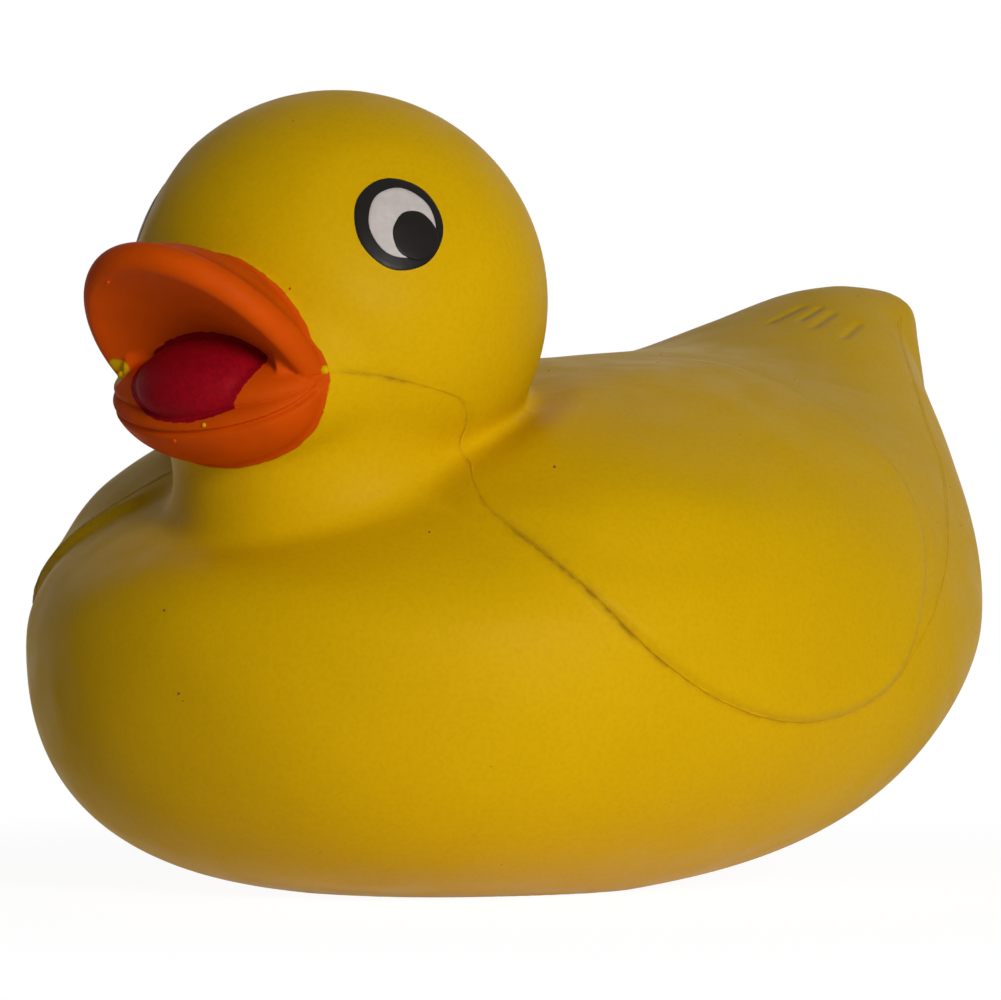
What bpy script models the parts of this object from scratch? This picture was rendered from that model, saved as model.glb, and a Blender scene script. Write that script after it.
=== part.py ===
"""Duck stress ball: one squeezable polyurethane foam moulding with a painted bill, tongue and eyes.

The duck faces -Y, its left side is +X, and the flat under the body rests on z = 0.
Run with: blender --background --python part.py
"""

import math
from collections import namedtuple

import bmesh
import bpy
from mathutils import Vector

MM = 0.001

# Head, which is nearly a ball
HEAD_RADIUS = 15.5 * MM
HEAD_HEIGHT = 43.5 * MM  # of its centre, above the table
HEAD_FORWARD = 19.5 * MM  # of its centre, ahead of the middle of the base

# Body, from breast to tail tip
BODY_LENGTH = 87.0 * MM
BODY_WIDTH = 65.0 * MM
BREAST_FORWARD = 37.9 * MM  # of the breast, ahead of the middle of the base
BACK_HEIGHT = 38.0 * MM
TAIL_RISE = 7.1 * MM  # of the tail, above the back

# Neck, a turned collar between head and breast
NECK_RADIUS = 11.0 * MM
NECK_FLARE = 4.0 * MM  # how much wider its foot is
NECK_FORWARD = 1.5 * MM
NECK_FOOT = 0.62  # height of its foot, as a share of the back's
NECK_TOP_DROP = 0.25  # of its shoulder below the head's centre, as a share of the head's radius

# Muzzle, the soft swelling that carries the bill
MUZZLE_HALF_WIDTH = 11.2 * MM
MUZZLE_LENGTH = 11.4 * MM
MUZZLE_HALF_HEIGHT = 8.0 * MM
MUZZLE_FORWARD = 7.0 * MM

# Mouth line, where the upper and the lower bill meet at the corners
MOUTH_DROP = 5.0 * MM  # below the centre of the head
MOUTH_FORWARD = 13.5 * MM  # ahead of the centre of the head

# Upper bill, a dished oval turned up about the mouth line
UPPER_HALF_WIDTH = 9.4 * MM
UPPER_LENGTH = 12.05 * MM  # ahead of its own middle
UPPER_AHEAD = 1.0 * MM  # of its middle, from the mouth line
UPPER_CROWN = 6.0 * MM
UPPER_FULLNESS = 0.75  # under 1, the crown stays high towards the rim
UPPER_LIP = 1.2 * MM  # half its thickness at the rim
UPPER_HOLLOW = 2.2 * MM
UPPER_TILT = math.radians(42)
UPPER_BACK = math.radians(14)  # how far it runs on past its widest place

# Lower bill, a shallow cup turned down about the mouth line
LOWER_HALF_WIDTH = 9.2 * MM
LOWER_LENGTH = 5.5 * MM
LOWER_AHEAD = 0.8 * MM
LOWER_DEPTH = 6.5 * MM
LOWER_LIP = 1.0 * MM
LOWER_HOLLOW = 1.8 * MM
LOWER_TILT = math.radians(-37)
LOWER_BACK = math.radians(38)

# Tongue, a mound that lies in the lower bill
TONGUE_HALF_WIDTH = 5.6 * MM
TONGUE_HALF_LENGTH = 4.6 * MM
TONGUE_HALF_HEIGHT = 2.9 * MM
TONGUE_FORWARD = 1.3 * MM  # of its centre, ahead of the mouth line
TONGUE_DROP = 0.6 * MM
TONGUE_TILT = math.radians(-22)

# Eyes, low printed bosses
EYE_RADIUS = 3.45 * MM
EYE_RAISE = 0.13 * MM
EYE_TURN = math.radians(57.4)  # from straight ahead, to each side
EYE_LIFT = math.radians(21.6)  # above the level of the centre of the head
WHITE_RADIUS = 2.6 * MM
PUPIL_RADIUS = 1.8 * MM
WHITE_BACK = 0.2 * MM
PUPIL_BACK = 1.1 * MM
PUPIL_DOWN = 1.05 * MM
PRINT_STEP = 0.05 * MM
PRINT_ROOT = 1.0 * MM

# Mouth, hollowed between the two bills
MOUTH_HALF_WIDTH = 8.4 * MM
MOUTH_HALF_LENGTH = 5.6 * MM
MOUTH_HALF_HEIGHT = 5.0 * MM
MOUTH_AHEAD = 5.2 * MM  # of its centre, from the mouth line

# Temples, where the head is a little flatter round the eyes
TEMPLE_SINK = 0.25 * MM
TEMPLE_RADIUS = 7.5 * MM

# Wings, raised above the flanks, most at the front. Their edge, seen from the side, runs from the
# neck under the wing and up its back as (distance behind the middle of the base, height)
WING_RAISE = 0.65 * MM
WING_SHOULDER = 0.9 * MM  # more, beside the neck
SHOULDER_FORWARD = 16.0 * MM
SHOULDER_FOOT = 24.0 * MM  # height where a shoulder starts
SHOULDER_TOP = 29.0 * MM
WING_EDGE = 0.8 * MM  # width of the slope at the wing's edge
WING_OUTLINE = (
    (-19.5 * MM, 40.0 * MM), (-21.0 * MM, 32.5 * MM), (-24.2 * MM, 28.0 * MM), (-22.3 * MM, 21.8 * MM),
    (-15.0 * MM, 15.7 * MM), (-5.0 * MM, 13.3 * MM), (4.5 * MM, 15.6 * MM), (9.5 * MM, 22.0 * MM),
    (13.8 * MM, 29.5 * MM), (13.5 * MM, 36.0 * MM), (10.0 * MM, 43.0 * MM), (-8.0 * MM, 46.0 * MM),
)
BACK_PLAIN = 4.0 * MM  # half width of the strip of back between the wings
BACK_BLEND = 9.0 * MM  # how far from there a wing takes to stand up
HEAD_CLEAR = 4.5 * MM  # how far from the head a wing takes to stand up

# Fineness of the mesh
RING_POINTS = 56
RINGS_PER_STATION = 4
SKIN_GRAIN = 0.7 * MM
SKIN_PASSES = 12  # of softening, once the shapes are joined
SKIN_TRIANGLES = 7400
BALL_SEGMENTS = 48
EYE_SEGMENTS = 28
ARC_POINTS = 8
DISH_STEPS = 28
CROWN_ROWS = 6
HOLLOW_ROWS = 4
PRINT_ROWS = 4
CORNER_THICKNESS = 0.75  # share of a bill's thickness left at the mouth corners
CORNER_START = -0.6
CORNER_END = 0.35

# The body's lines, front to back: where each section stands along the body, and its half width,
# keel, waist and back, as shares of the body's length, half width and back height. The last
# column is how much of the tail's rise the whole section takes.
Station = namedtuple("Station", "along half keel waist back lift")
BREAST_TIP = Station(0.000, 0.00, 0.505, 0.505, 0.505, 0.0)
STATIONS = (
    Station(0.020, 0.31, 0.295, 0.495, 0.620, 0.0),
    Station(0.070, 0.558, 0.128, 0.490, 0.690, 0.0),
    Station(0.150, 0.778, 0.036, 0.485, 0.790, 0.0),
    Station(0.275, 0.945, -0.008, 0.490, 0.930, 0.0),
    Station(0.435, 1.005, -0.022, 0.495, 1.025, 0.0),
    Station(0.590, 0.965, 0.028, 0.478, 1.034, 0.04),
    Station(0.730, 0.802, 0.178, 0.472, 1.003, 0.27),
    Station(0.830, 0.588, 0.335, 0.480, 1.000, 0.67),
    Station(0.890, 0.424, 0.412, 0.535, 1.000, 0.92),
    Station(0.920, 0.322, 0.490, 0.640, 1.000, 0.98),
    Station(0.942, 0.260, 0.600, 0.765, 1.000, 1.0),
    Station(0.966, 0.186, 0.750, 0.880, 0.998, 1.0),
    Station(0.988, 0.128, 0.890, 0.945, 0.992, 1.0),
)
TAIL_TIP = Station(1.000, 0.00, 0.960, 0.960, 0.960, 1.0)
BACK_POWER = 2.1  # 2 is an ellipse, and more is squarer
BELLY_POWER = 2.42

COLOURS = {
    "yellow_foam": ((0.560, 0.330, 0.003), 0.55),
    "orange_paint": ((0.580, 0.075, 0.003), 0.50),
    "red_paint": ((0.270, 0.006, 0.015), 0.50),
    "black_print": ((0.012, 0.010, 0.008), 0.45),
    "white_print": ((0.700, 0.660, 0.620), 0.50),
}


def clear_scene():
    for obj in list(bpy.data.objects):
        bpy.data.objects.remove(obj, do_unlink=True)


def new_collection(name):
    collection = bpy.data.collections.new(name)
    bpy.context.scene.collection.children.link(collection)
    return collection


def material(name):
    """A named paint or foam, made once."""
    made = bpy.data.materials.get(name)
    if made:
        return made
    colour, roughness = COLOURS[name]
    made = bpy.data.materials.new(name)
    made.use_nodes = True
    shader = made.node_tree.nodes["Principled BSDF"]
    shader.inputs["Base Color"].default_value = (*colour, 1.0)
    shader.inputs["Roughness"].default_value = roughness
    shader.inputs["Metallic"].default_value = 0.0
    made.diffuse_color = (*colour, 1.0)
    return made


def new_object(name, mesh, collection, finish):
    obj = bpy.data.objects.new(name, mesh)
    obj.data.materials.append(material(finish))
    collection.objects.link(obj)
    return obj


def helper(obj):
    """Marks a shape that is joined or cut, and isn't a part by itself."""
    obj.hide_render = True
    obj.display_type = "WIRE"
    return obj


def mesh_from_rings(name, rings, first_pole, last_pole):
    """A closed skin over rings of equal count, with a fan to a point at each end."""
    bm = bmesh.new()
    rows = [[bm.verts.new(point) for point in ring] for ring in rings]
    for row, following in zip(rows, rows[1:]):
        for i, vertex in enumerate(row):
            j = (i + 1) % len(row)
            bm.faces.new((vertex, row[j], following[j], following[i]))
    for row, pole in ((rows[0], first_pole), (rows[-1], last_pole)):
        tip = bm.verts.new(pole)
        for i, vertex in enumerate(row):
            bm.faces.new((vertex, row[(i + 1) % len(row)], tip))
    bmesh.ops.recalc_face_normals(bm, faces=bm.faces)
    mesh = bpy.data.meshes.new(name)
    bm.to_mesh(mesh)
    bm.free()
    return mesh


def ball(name, half_sizes, place, collection, finish, tilt=0.0):
    """A round or flattened ball, with its size in the mesh and its place on the object."""
    bm = bmesh.new()
    bmesh.ops.create_uvsphere(bm, u_segments=BALL_SEGMENTS, v_segments=BALL_SEGMENTS // 2, radius=1.0)
    bmesh.ops.scale(bm, vec=half_sizes, verts=bm.verts)
    mesh = bpy.data.meshes.new(name)
    bm.to_mesh(mesh)
    bm.free()
    obj = new_object(name, mesh, collection, finish)
    obj.location = place
    obj.rotation_euler = (-tilt, 0.0, 0.0)
    return helper(obj)


def box(name, side, place, collection, finish):
    bm = bmesh.new()
    bmesh.ops.create_cube(bm, size=side)
    mesh = bpy.data.meshes.new(name)
    bm.to_mesh(mesh)
    bm.free()
    obj = new_object(name, mesh, collection, finish)
    obj.location = place
    return helper(obj)


def turned(name, profile, segments, collection, finish):
    """A profile of (radius, height) points, top to bottom, turned about Z."""
    mesh = bpy.data.meshes.new(name)
    points = [(radius, 0.0, height) for radius, height in profile]
    mesh.from_pydata(points, [(i, i + 1) for i in range(len(points) - 1)], [])
    obj = new_object(name, mesh, collection, finish)
    screw = obj.modifiers.new("Turn", "SCREW")
    screw.axis = "Z"
    screw.steps = segments
    screw.render_steps = segments
    screw.use_merge_vertices = True
    screw.merge_threshold = 0.01 * MM
    return helper(obj)


def smooth_step(share):
    share = min(max(share, 0.0), 1.0)
    return share * share * (3 - 2 * share)


def blended(stations, place):
    """The station part way along the list, on a smooth curve through the four around it."""
    index = min(int(place), len(stations) - 4)
    t = place - index
    weights = (
        (-t + 2 * t * t - t**3) / 2,
        (2 - 5 * t * t + 3 * t**3) / 2,
        (t + 4 * t * t - 3 * t**3) / 2,
        (-t * t + t**3) / 2,
    )
    around = stations[index : index + 4]
    return Station(*(sum(w * v for w, v in zip(weights, values)) for values in zip(*around)))


def beyond(tip, neighbour):
    """The mirrored station past a tip, which makes the lines meet the tip squarely."""
    return Station(
        neighbour.along, -neighbour.half, neighbour.back, neighbour.waist, neighbour.keel, tip.lift
    )


def section_point(station, angle):
    """A point of the body's skin: an oval with its own height above and below the waist."""
    across, up = math.cos(angle), math.sin(angle)
    reach = station.back - station.waist if up > 0 else station.waist - station.keel
    share = 2 / (BACK_POWER if up > 0 else BELLY_POWER)
    height = station.waist + reach * math.copysign(abs(up) ** share, up)
    return Vector((
        BODY_WIDTH / 2 * station.half * math.copysign(abs(across) ** share, across),
        BODY_LENGTH * station.along - BREAST_FORWARD,
        BACK_HEIGHT * height + TAIL_RISE * station.lift,
    ))


def body(collection):
    line = (
        beyond(BREAST_TIP, STATIONS[0]), BREAST_TIP, *STATIONS, TAIL_TIP, beyond(TAIL_TIP, STATIONS[-1]),
    )
    steps = (len(line) - 3) * RINGS_PER_STATION
    sections = [blended(line, i / RINGS_PER_STATION) for i in range(1, steps)]
    turns = [math.tau * i / RING_POINTS for i in range(RING_POINTS)]
    rings = [[section_point(section, turn) for turn in turns] for section in sections]
    mesh = mesh_from_rings("body", rings, section_point(BREAST_TIP, 0.0), section_point(TAIL_TIP, 0.0))
    return helper(new_object("body", mesh, collection, "yellow_foam"))


def head_point(forward, up):
    """A place on the middle plane, measured from the centre of the head."""
    return Vector((0.0, -HEAD_FORWARD - forward, HEAD_HEIGHT + up))


def neck(collection):
    foot = BACK_HEIGHT * NECK_FOOT
    profile = [(0.0, HEAD_HEIGHT), (NECK_RADIUS, HEAD_HEIGHT - HEAD_RADIUS * NECK_TOP_DROP)]
    for i in range(ARC_POINTS + 1):
        turn = math.pi / 2 * i / ARC_POINTS
        profile.append((
            NECK_RADIUS + NECK_FLARE * (1 - math.cos(turn)),
            foot + NECK_FLARE * (1 - math.sin(turn)),
        ))
    profile.append((NECK_RADIUS + NECK_FLARE, foot - NECK_FLARE))
    profile.append((0.0, foot - NECK_FLARE))
    obj = turned("neck", profile, BALL_SEGMENTS, collection, "yellow_foam")
    obj.location = (0.0, -HEAD_FORWARD - NECK_FORWARD, 0.0)
    return obj


def dished_oval(name, outline, half_width, length, ahead, back, tilt, collection):
    """The front of an oval dish turned up or down about the mouth line, cut straight across behind.

    The outline is (share of the radius, height) from the middle of the top round the lip to the
    middle of the underside, and it thins towards the mouth corners.
    """
    bm = bmesh.new()
    rows = []
    for i in range(DISH_STEPS + 1):
        turn = (math.pi + 2 * back) * i / DISH_STEPS - back
        across, reach = math.cos(turn) * half_width, math.sin(turn) * length
        full = smooth_step((math.sin(turn) - CORNER_START) / (CORNER_END - CORNER_START))
        thinned = (1 - CORNER_THICKNESS) * (1 - full)
        rows.append([
            bm.verts.new((across * share, -ahead - reach * share, height * (1 - thinned * share * share)))
            for share, height in outline
        ])
    for row, following in zip(rows, rows[1:] + rows[:1]):
        for i in range(len(outline) - 1):
            bm.faces.new((row[i], following[i], following[i + 1], row[i + 1]))
    bmesh.ops.remove_doubles(bm, verts=bm.verts, dist=0.001 * MM)
    bmesh.ops.recalc_face_normals(bm, faces=bm.faces)
    mesh = bpy.data.meshes.new(name)
    bm.to_mesh(mesh)
    bm.free()
    obj = new_object(name, mesh, collection, "orange_paint")
    obj.location = head_point(MOUTH_FORWARD, -MOUTH_DROP)
    obj.rotation_euler = (-tilt, 0.0, 0.0)
    return helper(obj)


def upper_bill(collection):
    rim = 1 - UPPER_LIP / UPPER_LENGTH
    crown = UPPER_CROWN - UPPER_LIP
    shares = [i / CROWN_ROWS for i in range(CROWN_ROWS)]
    top = [(rim * share, UPPER_LIP + crown * (1 - share * share) ** UPPER_FULLNESS) for share in shares]
    lip = []
    for i in range(ARC_POINTS + 1):
        turn = math.pi * i / ARC_POINTS
        lip.append((rim + (1 - rim) * math.sin(turn), UPPER_LIP * math.cos(turn)))
    shares = [i / HOLLOW_ROWS for i in reversed(range(HOLLOW_ROWS))]
    under = [(rim * share, -UPPER_LIP + UPPER_HOLLOW * (1 - share * share)) for share in shares]
    return dished_oval("upper_bill", top + lip + under, UPPER_HALF_WIDTH, UPPER_LENGTH,
                       UPPER_AHEAD, UPPER_BACK, UPPER_TILT, collection)


def lower_bill(collection):
    rim = 1 - LOWER_LIP / LOWER_LENGTH
    shares = [i / HOLLOW_ROWS for i in range(HOLLOW_ROWS)]
    floor = [(rim * share, -LOWER_HOLLOW * (1 - share * share)) for share in shares]
    lip = []
    for i in range(ARC_POINTS // 2 + 1):
        turn = math.pi * i / ARC_POINTS
        lip.append((rim + (1 - rim) * math.sin(turn), LOWER_LIP * (math.cos(turn) - 1)))
    bowl = []
    for i in range(1, ARC_POINTS + 1):
        turn = math.pi / 2 * i / ARC_POINTS
        bowl.append((math.cos(turn), -LOWER_LIP - (LOWER_DEPTH - LOWER_LIP) * math.sin(turn)))
    return dished_oval("lower_bill", floor + lip + bowl, LOWER_HALF_WIDTH, LOWER_LENGTH,
                       LOWER_AHEAD, LOWER_BACK, LOWER_TILT, collection)


def eye_direction(side):
    """The way the middle of an eye faces from the centre of the head; side is 1 for the left eye."""
    return Vector((
        side * math.sin(EYE_TURN) * math.cos(EYE_LIFT),
        -math.cos(EYE_TURN) * math.cos(EYE_LIFT),
        math.sin(EYE_LIFT),
    ))


def printed_disc(name, side, radius, raise_by, back, down, collection, finish):
    """A low round boss on the head, its top curved like the head."""
    outward = eye_direction(side)
    rearward = Vector((side * math.cos(EYE_TURN), math.sin(EYE_TURN), 0.0))
    downward = rearward.cross(outward) * side
    if downward.z > 0:
        downward.negate()
    facing = (outward * HEAD_RADIUS + rearward * back + downward * down).normalized()
    top = HEAD_RADIUS - TEMPLE_SINK + raise_by
    reach = radius / HEAD_RADIUS
    turns = [reach * i / PRINT_ROWS for i in range(PRINT_ROWS + 1)]
    profile = [(top * math.sin(turn), top * math.cos(turn)) for turn in turns]
    root = top - PRINT_ROOT
    profile += [(radius, root), (0.0, root)]
    obj = turned(name, profile, EYE_SEGMENTS, collection, finish)
    obj.location = head_point(0.0, 0.0)
    obj.rotation_euler = facing.to_track_quat("Z", "Y").to_euler()
    return obj


def eye(side, collection):
    label = "left" if side > 0 else "right"
    return [
        printed_disc(f"{label}_eye_ring", side, EYE_RADIUS, EYE_RAISE, 0.0, 0.0,
                     collection, "black_print"),
        printed_disc(f"{label}_eye_white", side, WHITE_RADIUS, EYE_RAISE + PRINT_STEP, WHITE_BACK, 0.0,
                     collection, "white_print"),
        printed_disc(f"{label}_eye_pupil", side, PUPIL_RADIUS, EYE_RAISE + 2 * PRINT_STEP, PUPIL_BACK,
                     PUPIL_DOWN, collection, "black_print"),
    ]


def boolean(obj, operation, other):
    modifier = obj.modifiers.new(other.name, "BOOLEAN")
    modifier.operation = operation
    modifier.solver = "EXACT"
    modifier.material_mode = "TRANSFER"
    modifier.object = other
    return modifier


def apply_modifiers(obj):
    bpy.context.view_layer.update()
    graph = bpy.context.evaluated_depsgraph_get()
    mesh = bpy.data.meshes.new_from_object(obj.evaluated_get(graph))
    obj.modifiers.clear()
    obj.data = mesh
    mesh.name = obj.name


def smooth_loop(points):
    """Points on a closed smooth curve through the given ones, and back to the first."""
    made = []
    for i in range(len(points)):
        around = [Vector(points[(i + k - 1) % len(points)]) for k in range(4)]
        for step in range(RINGS_PER_STATION):
            t = step / RINGS_PER_STATION
            made.append((
                around[0] * (-t + 2 * t * t - t**3)
                + around[1] * (2 - 5 * t * t + 3 * t**3)
                + around[2] * (t + 4 * t * t - 3 * t**3)
                + around[3] * (-t * t + t**3)
            ) / 2)
    return made + made[:1]


def depth_inside(point, loop):
    """How far a side-view point lies inside a closed loop, and less than nothing outside it."""
    nearest = math.inf
    inside = False
    for start, end in zip(loop, loop[1:]):
        along = end - start
        share = min(max((point - start).dot(along) / along.length_squared, 0.0), 1.0)
        nearest = min(nearest, (point - start - along * share).length)
        if (start.y > point.y) != (end.y > point.y):
            if point.x < start.x + (point.y - start.y) * along.x / along.y:
                inside = not inside
    return nearest if inside else -nearest


def shape_skin(mesh):
    """Stands the wings up from the flanks, and flattens the temples."""
    loop = smooth_loop(WING_OUTLINE)
    centre = head_point(0.0, 0.0)
    normals = [vertex.normal.copy() for vertex in mesh.vertices]
    for vertex, normal in zip(mesh.vertices, normals):
        place = vertex.co.copy()
        if abs(place.x) > BACK_PLAIN:
            edge = smooth_step(0.5 + depth_inside(Vector((place.y, place.z)), loop) / WING_EDGE)
            edge *= smooth_step((abs(place.x) - BACK_PLAIN) / BACK_BLEND)
            edge *= smooth_step(((place - centre).length - HEAD_RADIUS) / HEAD_CLEAR)
            shoulder = smooth_step(-place.y / SHOULDER_FORWARD)
            shoulder *= smooth_step((place.z - SHOULDER_FOOT) / (SHOULDER_TOP - SHOULDER_FOOT))
            vertex.co += normal * edge * (WING_RAISE + WING_SHOULDER * shoulder)
        for side in (1, -1):
            reach = (place - centre - eye_direction(side) * HEAD_RADIUS).length
            flat = smooth_step((TEMPLE_RADIUS - reach) / (TEMPLE_RADIUS - EYE_RADIUS))
            vertex.co -= normal * TEMPLE_SINK * flat


def skin(collection, parts):
    """Body, neck, head and muzzle run together into one soft skin, as the foam is cast."""
    muzzle = ball("muzzle", (MUZZLE_HALF_WIDTH, MUZZLE_LENGTH, MUZZLE_HALF_HEIGHT),
                  head_point(MUZZLE_FORWARD, -MOUTH_DROP), parts, "yellow_foam")
    head = ball("head", (HEAD_RADIUS, HEAD_RADIUS, HEAD_RADIUS), head_point(0.0, 0.0), parts, "yellow_foam")
    duck = new_object("duck", body(parts).data.copy(), collection, "yellow_foam")
    for piece in (neck(parts), head, muzzle):
        boolean(duck, "UNION", piece)
    remesh = duck.modifiers.new("Cast", "REMESH")
    remesh.mode = "VOXEL"
    remesh.voxel_size = SKIN_GRAIN
    soften = duck.modifiers.new("Soften", "SMOOTH")
    soften.factor = 0.5
    soften.iterations = SKIN_PASSES
    apply_modifiers(duck)
    shape_skin(duck.data)
    mouth = ball("mouth", (MOUTH_HALF_WIDTH, MOUTH_HALF_LENGTH, MOUTH_HALF_HEIGHT),
                 head_point(MOUTH_FORWARD + MOUTH_AHEAD, -MOUTH_DROP), parts, "orange_paint")
    boolean(duck, "DIFFERENCE", mouth)
    apply_modifiers(duck)
    return duck


def main():
    clear_scene()
    collection = new_collection("duck_stress_ball")
    parts = new_collection("joined_and_cut_shapes")
    duck = skin(collection, parts)
    thin = duck.modifiers.new("Thin out", "DECIMATE")
    thin.ratio = SKIN_TRIANGLES / (2 * len(duck.data.polygons))
    thin.use_symmetry = True
    thin.symmetry_axis = "X"
    tongue = ball("tongue", (TONGUE_HALF_WIDTH, TONGUE_HALF_LENGTH, TONGUE_HALF_HEIGHT),
                  head_point(MOUTH_FORWARD + TONGUE_FORWARD, -MOUTH_DROP - TONGUE_DROP), parts,
                  "red_paint", TONGUE_TILT)
    for piece in (lower_bill(parts), upper_bill(parts), tongue, *eye(1, parts), *eye(-1, parts)):
        boolean(duck, "UNION", piece)
    for name in COLOURS:
        if name not in duck.data.materials:
            duck.data.materials.append(material(name))
    table = box("table", 2 * BODY_LENGTH, (0.0, 0.0, -BODY_LENGTH), parts, "yellow_foam")
    boolean(duck, "DIFFERENCE", table)


main()
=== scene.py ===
"""Looks of the duck stress ball: one squeezable foam moulding with a painted bill, tongue and eyes.

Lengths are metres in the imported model's frame: the duck faces -Y, its left side is +X, and it
stands on z = 0. The file is laid out as an add-on, and is run as a script.
"""

import math
from collections import namedtuple

import bmesh
import bpy
import numpy as np
from bpy.props import FloatProperty, FloatVectorProperty, IntProperty, PointerProperty
from mathutils import Matrix, Vector
from mathutils.bvhtree import BVHTree
from mathutils.kdtree import KDTree


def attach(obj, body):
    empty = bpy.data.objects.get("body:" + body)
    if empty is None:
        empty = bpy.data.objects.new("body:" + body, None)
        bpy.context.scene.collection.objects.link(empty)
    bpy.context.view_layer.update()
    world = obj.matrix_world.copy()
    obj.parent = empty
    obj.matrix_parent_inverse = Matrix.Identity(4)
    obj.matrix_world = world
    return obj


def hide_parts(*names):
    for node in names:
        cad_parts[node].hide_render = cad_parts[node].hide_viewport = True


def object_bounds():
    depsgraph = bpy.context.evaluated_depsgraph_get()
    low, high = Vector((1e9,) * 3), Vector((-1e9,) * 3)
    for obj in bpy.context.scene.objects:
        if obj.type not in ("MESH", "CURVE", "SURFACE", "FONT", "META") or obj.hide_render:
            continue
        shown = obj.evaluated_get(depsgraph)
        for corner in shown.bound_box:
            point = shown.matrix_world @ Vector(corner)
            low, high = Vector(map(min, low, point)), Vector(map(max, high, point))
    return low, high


bl_info = {
    "name": "Duck stress ball",
    "version": (1, 0, 0),
    "blender": (4, 5, 0),
    "location": "3D View > Sidebar > Duck",
    "description": "Moulds, paints and lights a squeezable foam duck",
    "category": "Add Mesh",
}

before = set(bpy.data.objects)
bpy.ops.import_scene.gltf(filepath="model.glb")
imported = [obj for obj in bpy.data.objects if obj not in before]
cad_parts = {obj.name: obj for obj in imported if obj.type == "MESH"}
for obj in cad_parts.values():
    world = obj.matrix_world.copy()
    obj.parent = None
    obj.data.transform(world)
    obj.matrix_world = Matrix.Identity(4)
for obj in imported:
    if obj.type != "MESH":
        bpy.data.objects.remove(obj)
PACKED_LOW, PACKED_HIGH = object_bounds()

MM = 0.001
CAD_NODE = "duck"

# Where the head, the mouth line and the breast stand
HEAD_CENTRE = Vector((0.0, -19.5 * MM, 43.5 * MM))
MOUTH_DROP = 5.0 * MM  # below the centre of the head
MOUTH_FORWARD = 13.5 * MM  # ahead of the centre of the head
BREAST_FORWARD = 37.9 * MM
TAIL_RISE = 7.1 * MM

# Neck, a turned collar between head and breast
NECK_RADIUS = 11.0 * MM
NECK_FLARE = 4.0 * MM
NECK_FORWARD = 1.5 * MM
NECK_FOOT = 0.62  # height of its foot, as a share of the back's
NECK_TOP_DROP = 0.25  # below the head's centre, as a share of its radius

# Muzzle, the soft swelling that carries the bill
MUZZLE_HALVES = (11.2 * MM, 11.4 * MM, 8.0 * MM)
MUZZLE_FORWARD = 7.0 * MM

# Mouth, hollowed between the two bills
MOUTH_HALVES = (8.4 * MM, 5.6 * MM, 5.0 * MM)
MOUTH_AHEAD = 5.2 * MM
LINING_REACH = 2.0 * MM  # how far round the hollow the paint goes

# Tongue, a mound that lies in the lower bill
TONGUE_HALVES = (5.6 * MM, 4.6 * MM, 2.9 * MM)
TONGUE_FORWARD = 1.3 * MM
TONGUE_DROP = 0.6 * MM
TONGUE_TILT = math.radians(-22)
TONGUE_CREASE = 0.5 * MM  # how far the soft crease round the tongue runs

# Floor of the mouth, a low cushion that the tongue rises from and that ends in the mouth corners
CUSHION_HALVES = (8.9 * MM, 4.4 * MM, 2.2 * MM)
CUSHION_FORWARD = 0.4 * MM
CUSHION_DROP = 0.8 * MM

# A bill is the front of a dished oval, turned up or down about the mouth line
Bill = namedtuple("Bill", "half_width length ahead tilt back far_narrow far_low")
UPPER_BILL = Bill(9.4 * MM, 12.05 * MM, 1.0 * MM, math.radians(42), math.radians(14), 0.02, 0.8)
UPPER_CROWN = 6.0 * MM
UPPER_FULLNESS = 0.75  # under 1, the crown stays high towards the rim
UPPER_LIP = 1.2 * MM  # half its thickness at the rim
UPPER_HOLLOW = 2.2 * MM
LOWER_BILL = Bill(9.2 * MM, 5.5 * MM, 0.8 * MM, math.radians(-37), math.radians(38), 0.0, 0.0)
LOWER_DEPTH = 6.5 * MM
LOWER_LIP = 1.0 * MM
LOWER_HOLLOW = 1.8 * MM
BOWL_SPREAD = 1.3  # over 1, the bowl's rows gather at the lip
LIP_GROOVE_DEPTH = 0.36 * MM
LIP_GROOVE_WIDTH = 0.20 * MM
LIP_GROOVE_DROP = 1.0 * MM  # below the top of the lower lip
FAR_BLEND = 0.7  # how far round its right half the upper bill takes to slim down
CORNER_THICKNESS = 0.75  # share of a bill's thickness left at the mouth corners
CORNER_START = -0.6
CORNER_END = 0.35
CREASE_REACH = 0.7 * MM  # how far the soft crease between bill and cheek runs
CREASE_PASSES = 8
NAPE_PASSES = 60
NAPE_REACH = 5.0 * MM  # each side of the valley between head and shoulders
NAPE_OFF_HEAD = 1.5 * MM
NAPE_TOP = 36.0 * MM
NAPE_FOOT = 24.0 * MM
NAPE_FRONT = -31.0 * MM
NAPE_FADE = 3.5 * MM

# Wings and temples, pressed out of the flanks and into the head
WING_SHOULDER = 0.9 * MM
SHOULDER_FORWARD = 16.0 * MM
SHOULDER_FOOT = 24.0 * MM
SHOULDER_TOP = 29.0 * MM
SHOULDER_BLEND = 5.0 * MM  # how far inside the wing's outline its lift is full
BACK_PLAIN = 4.0 * MM  # half width of the strip of back between the wings
BACK_BLEND = 9.0 * MM
HEAD_CLEAR = 4.5 * MM
TEMPLE_SINK = 0.25 * MM
TEMPLE_RADIUS = 7.5 * MM
WING_OUTLINE = np.array((
    (-19.5, 40.0), (-21.0, 32.5), (-24.2, 28.0), (-22.3, 21.8), (-15.0, 15.7), (-5.0, 13.3),
    (4.5, 15.6), (9.5, 22.0), (13.8, 29.5), (13.5, 36.0), (10.0, 43.0), (-8.0, 46.0),
)) * MM  # (y, z), seen from the side

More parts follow.
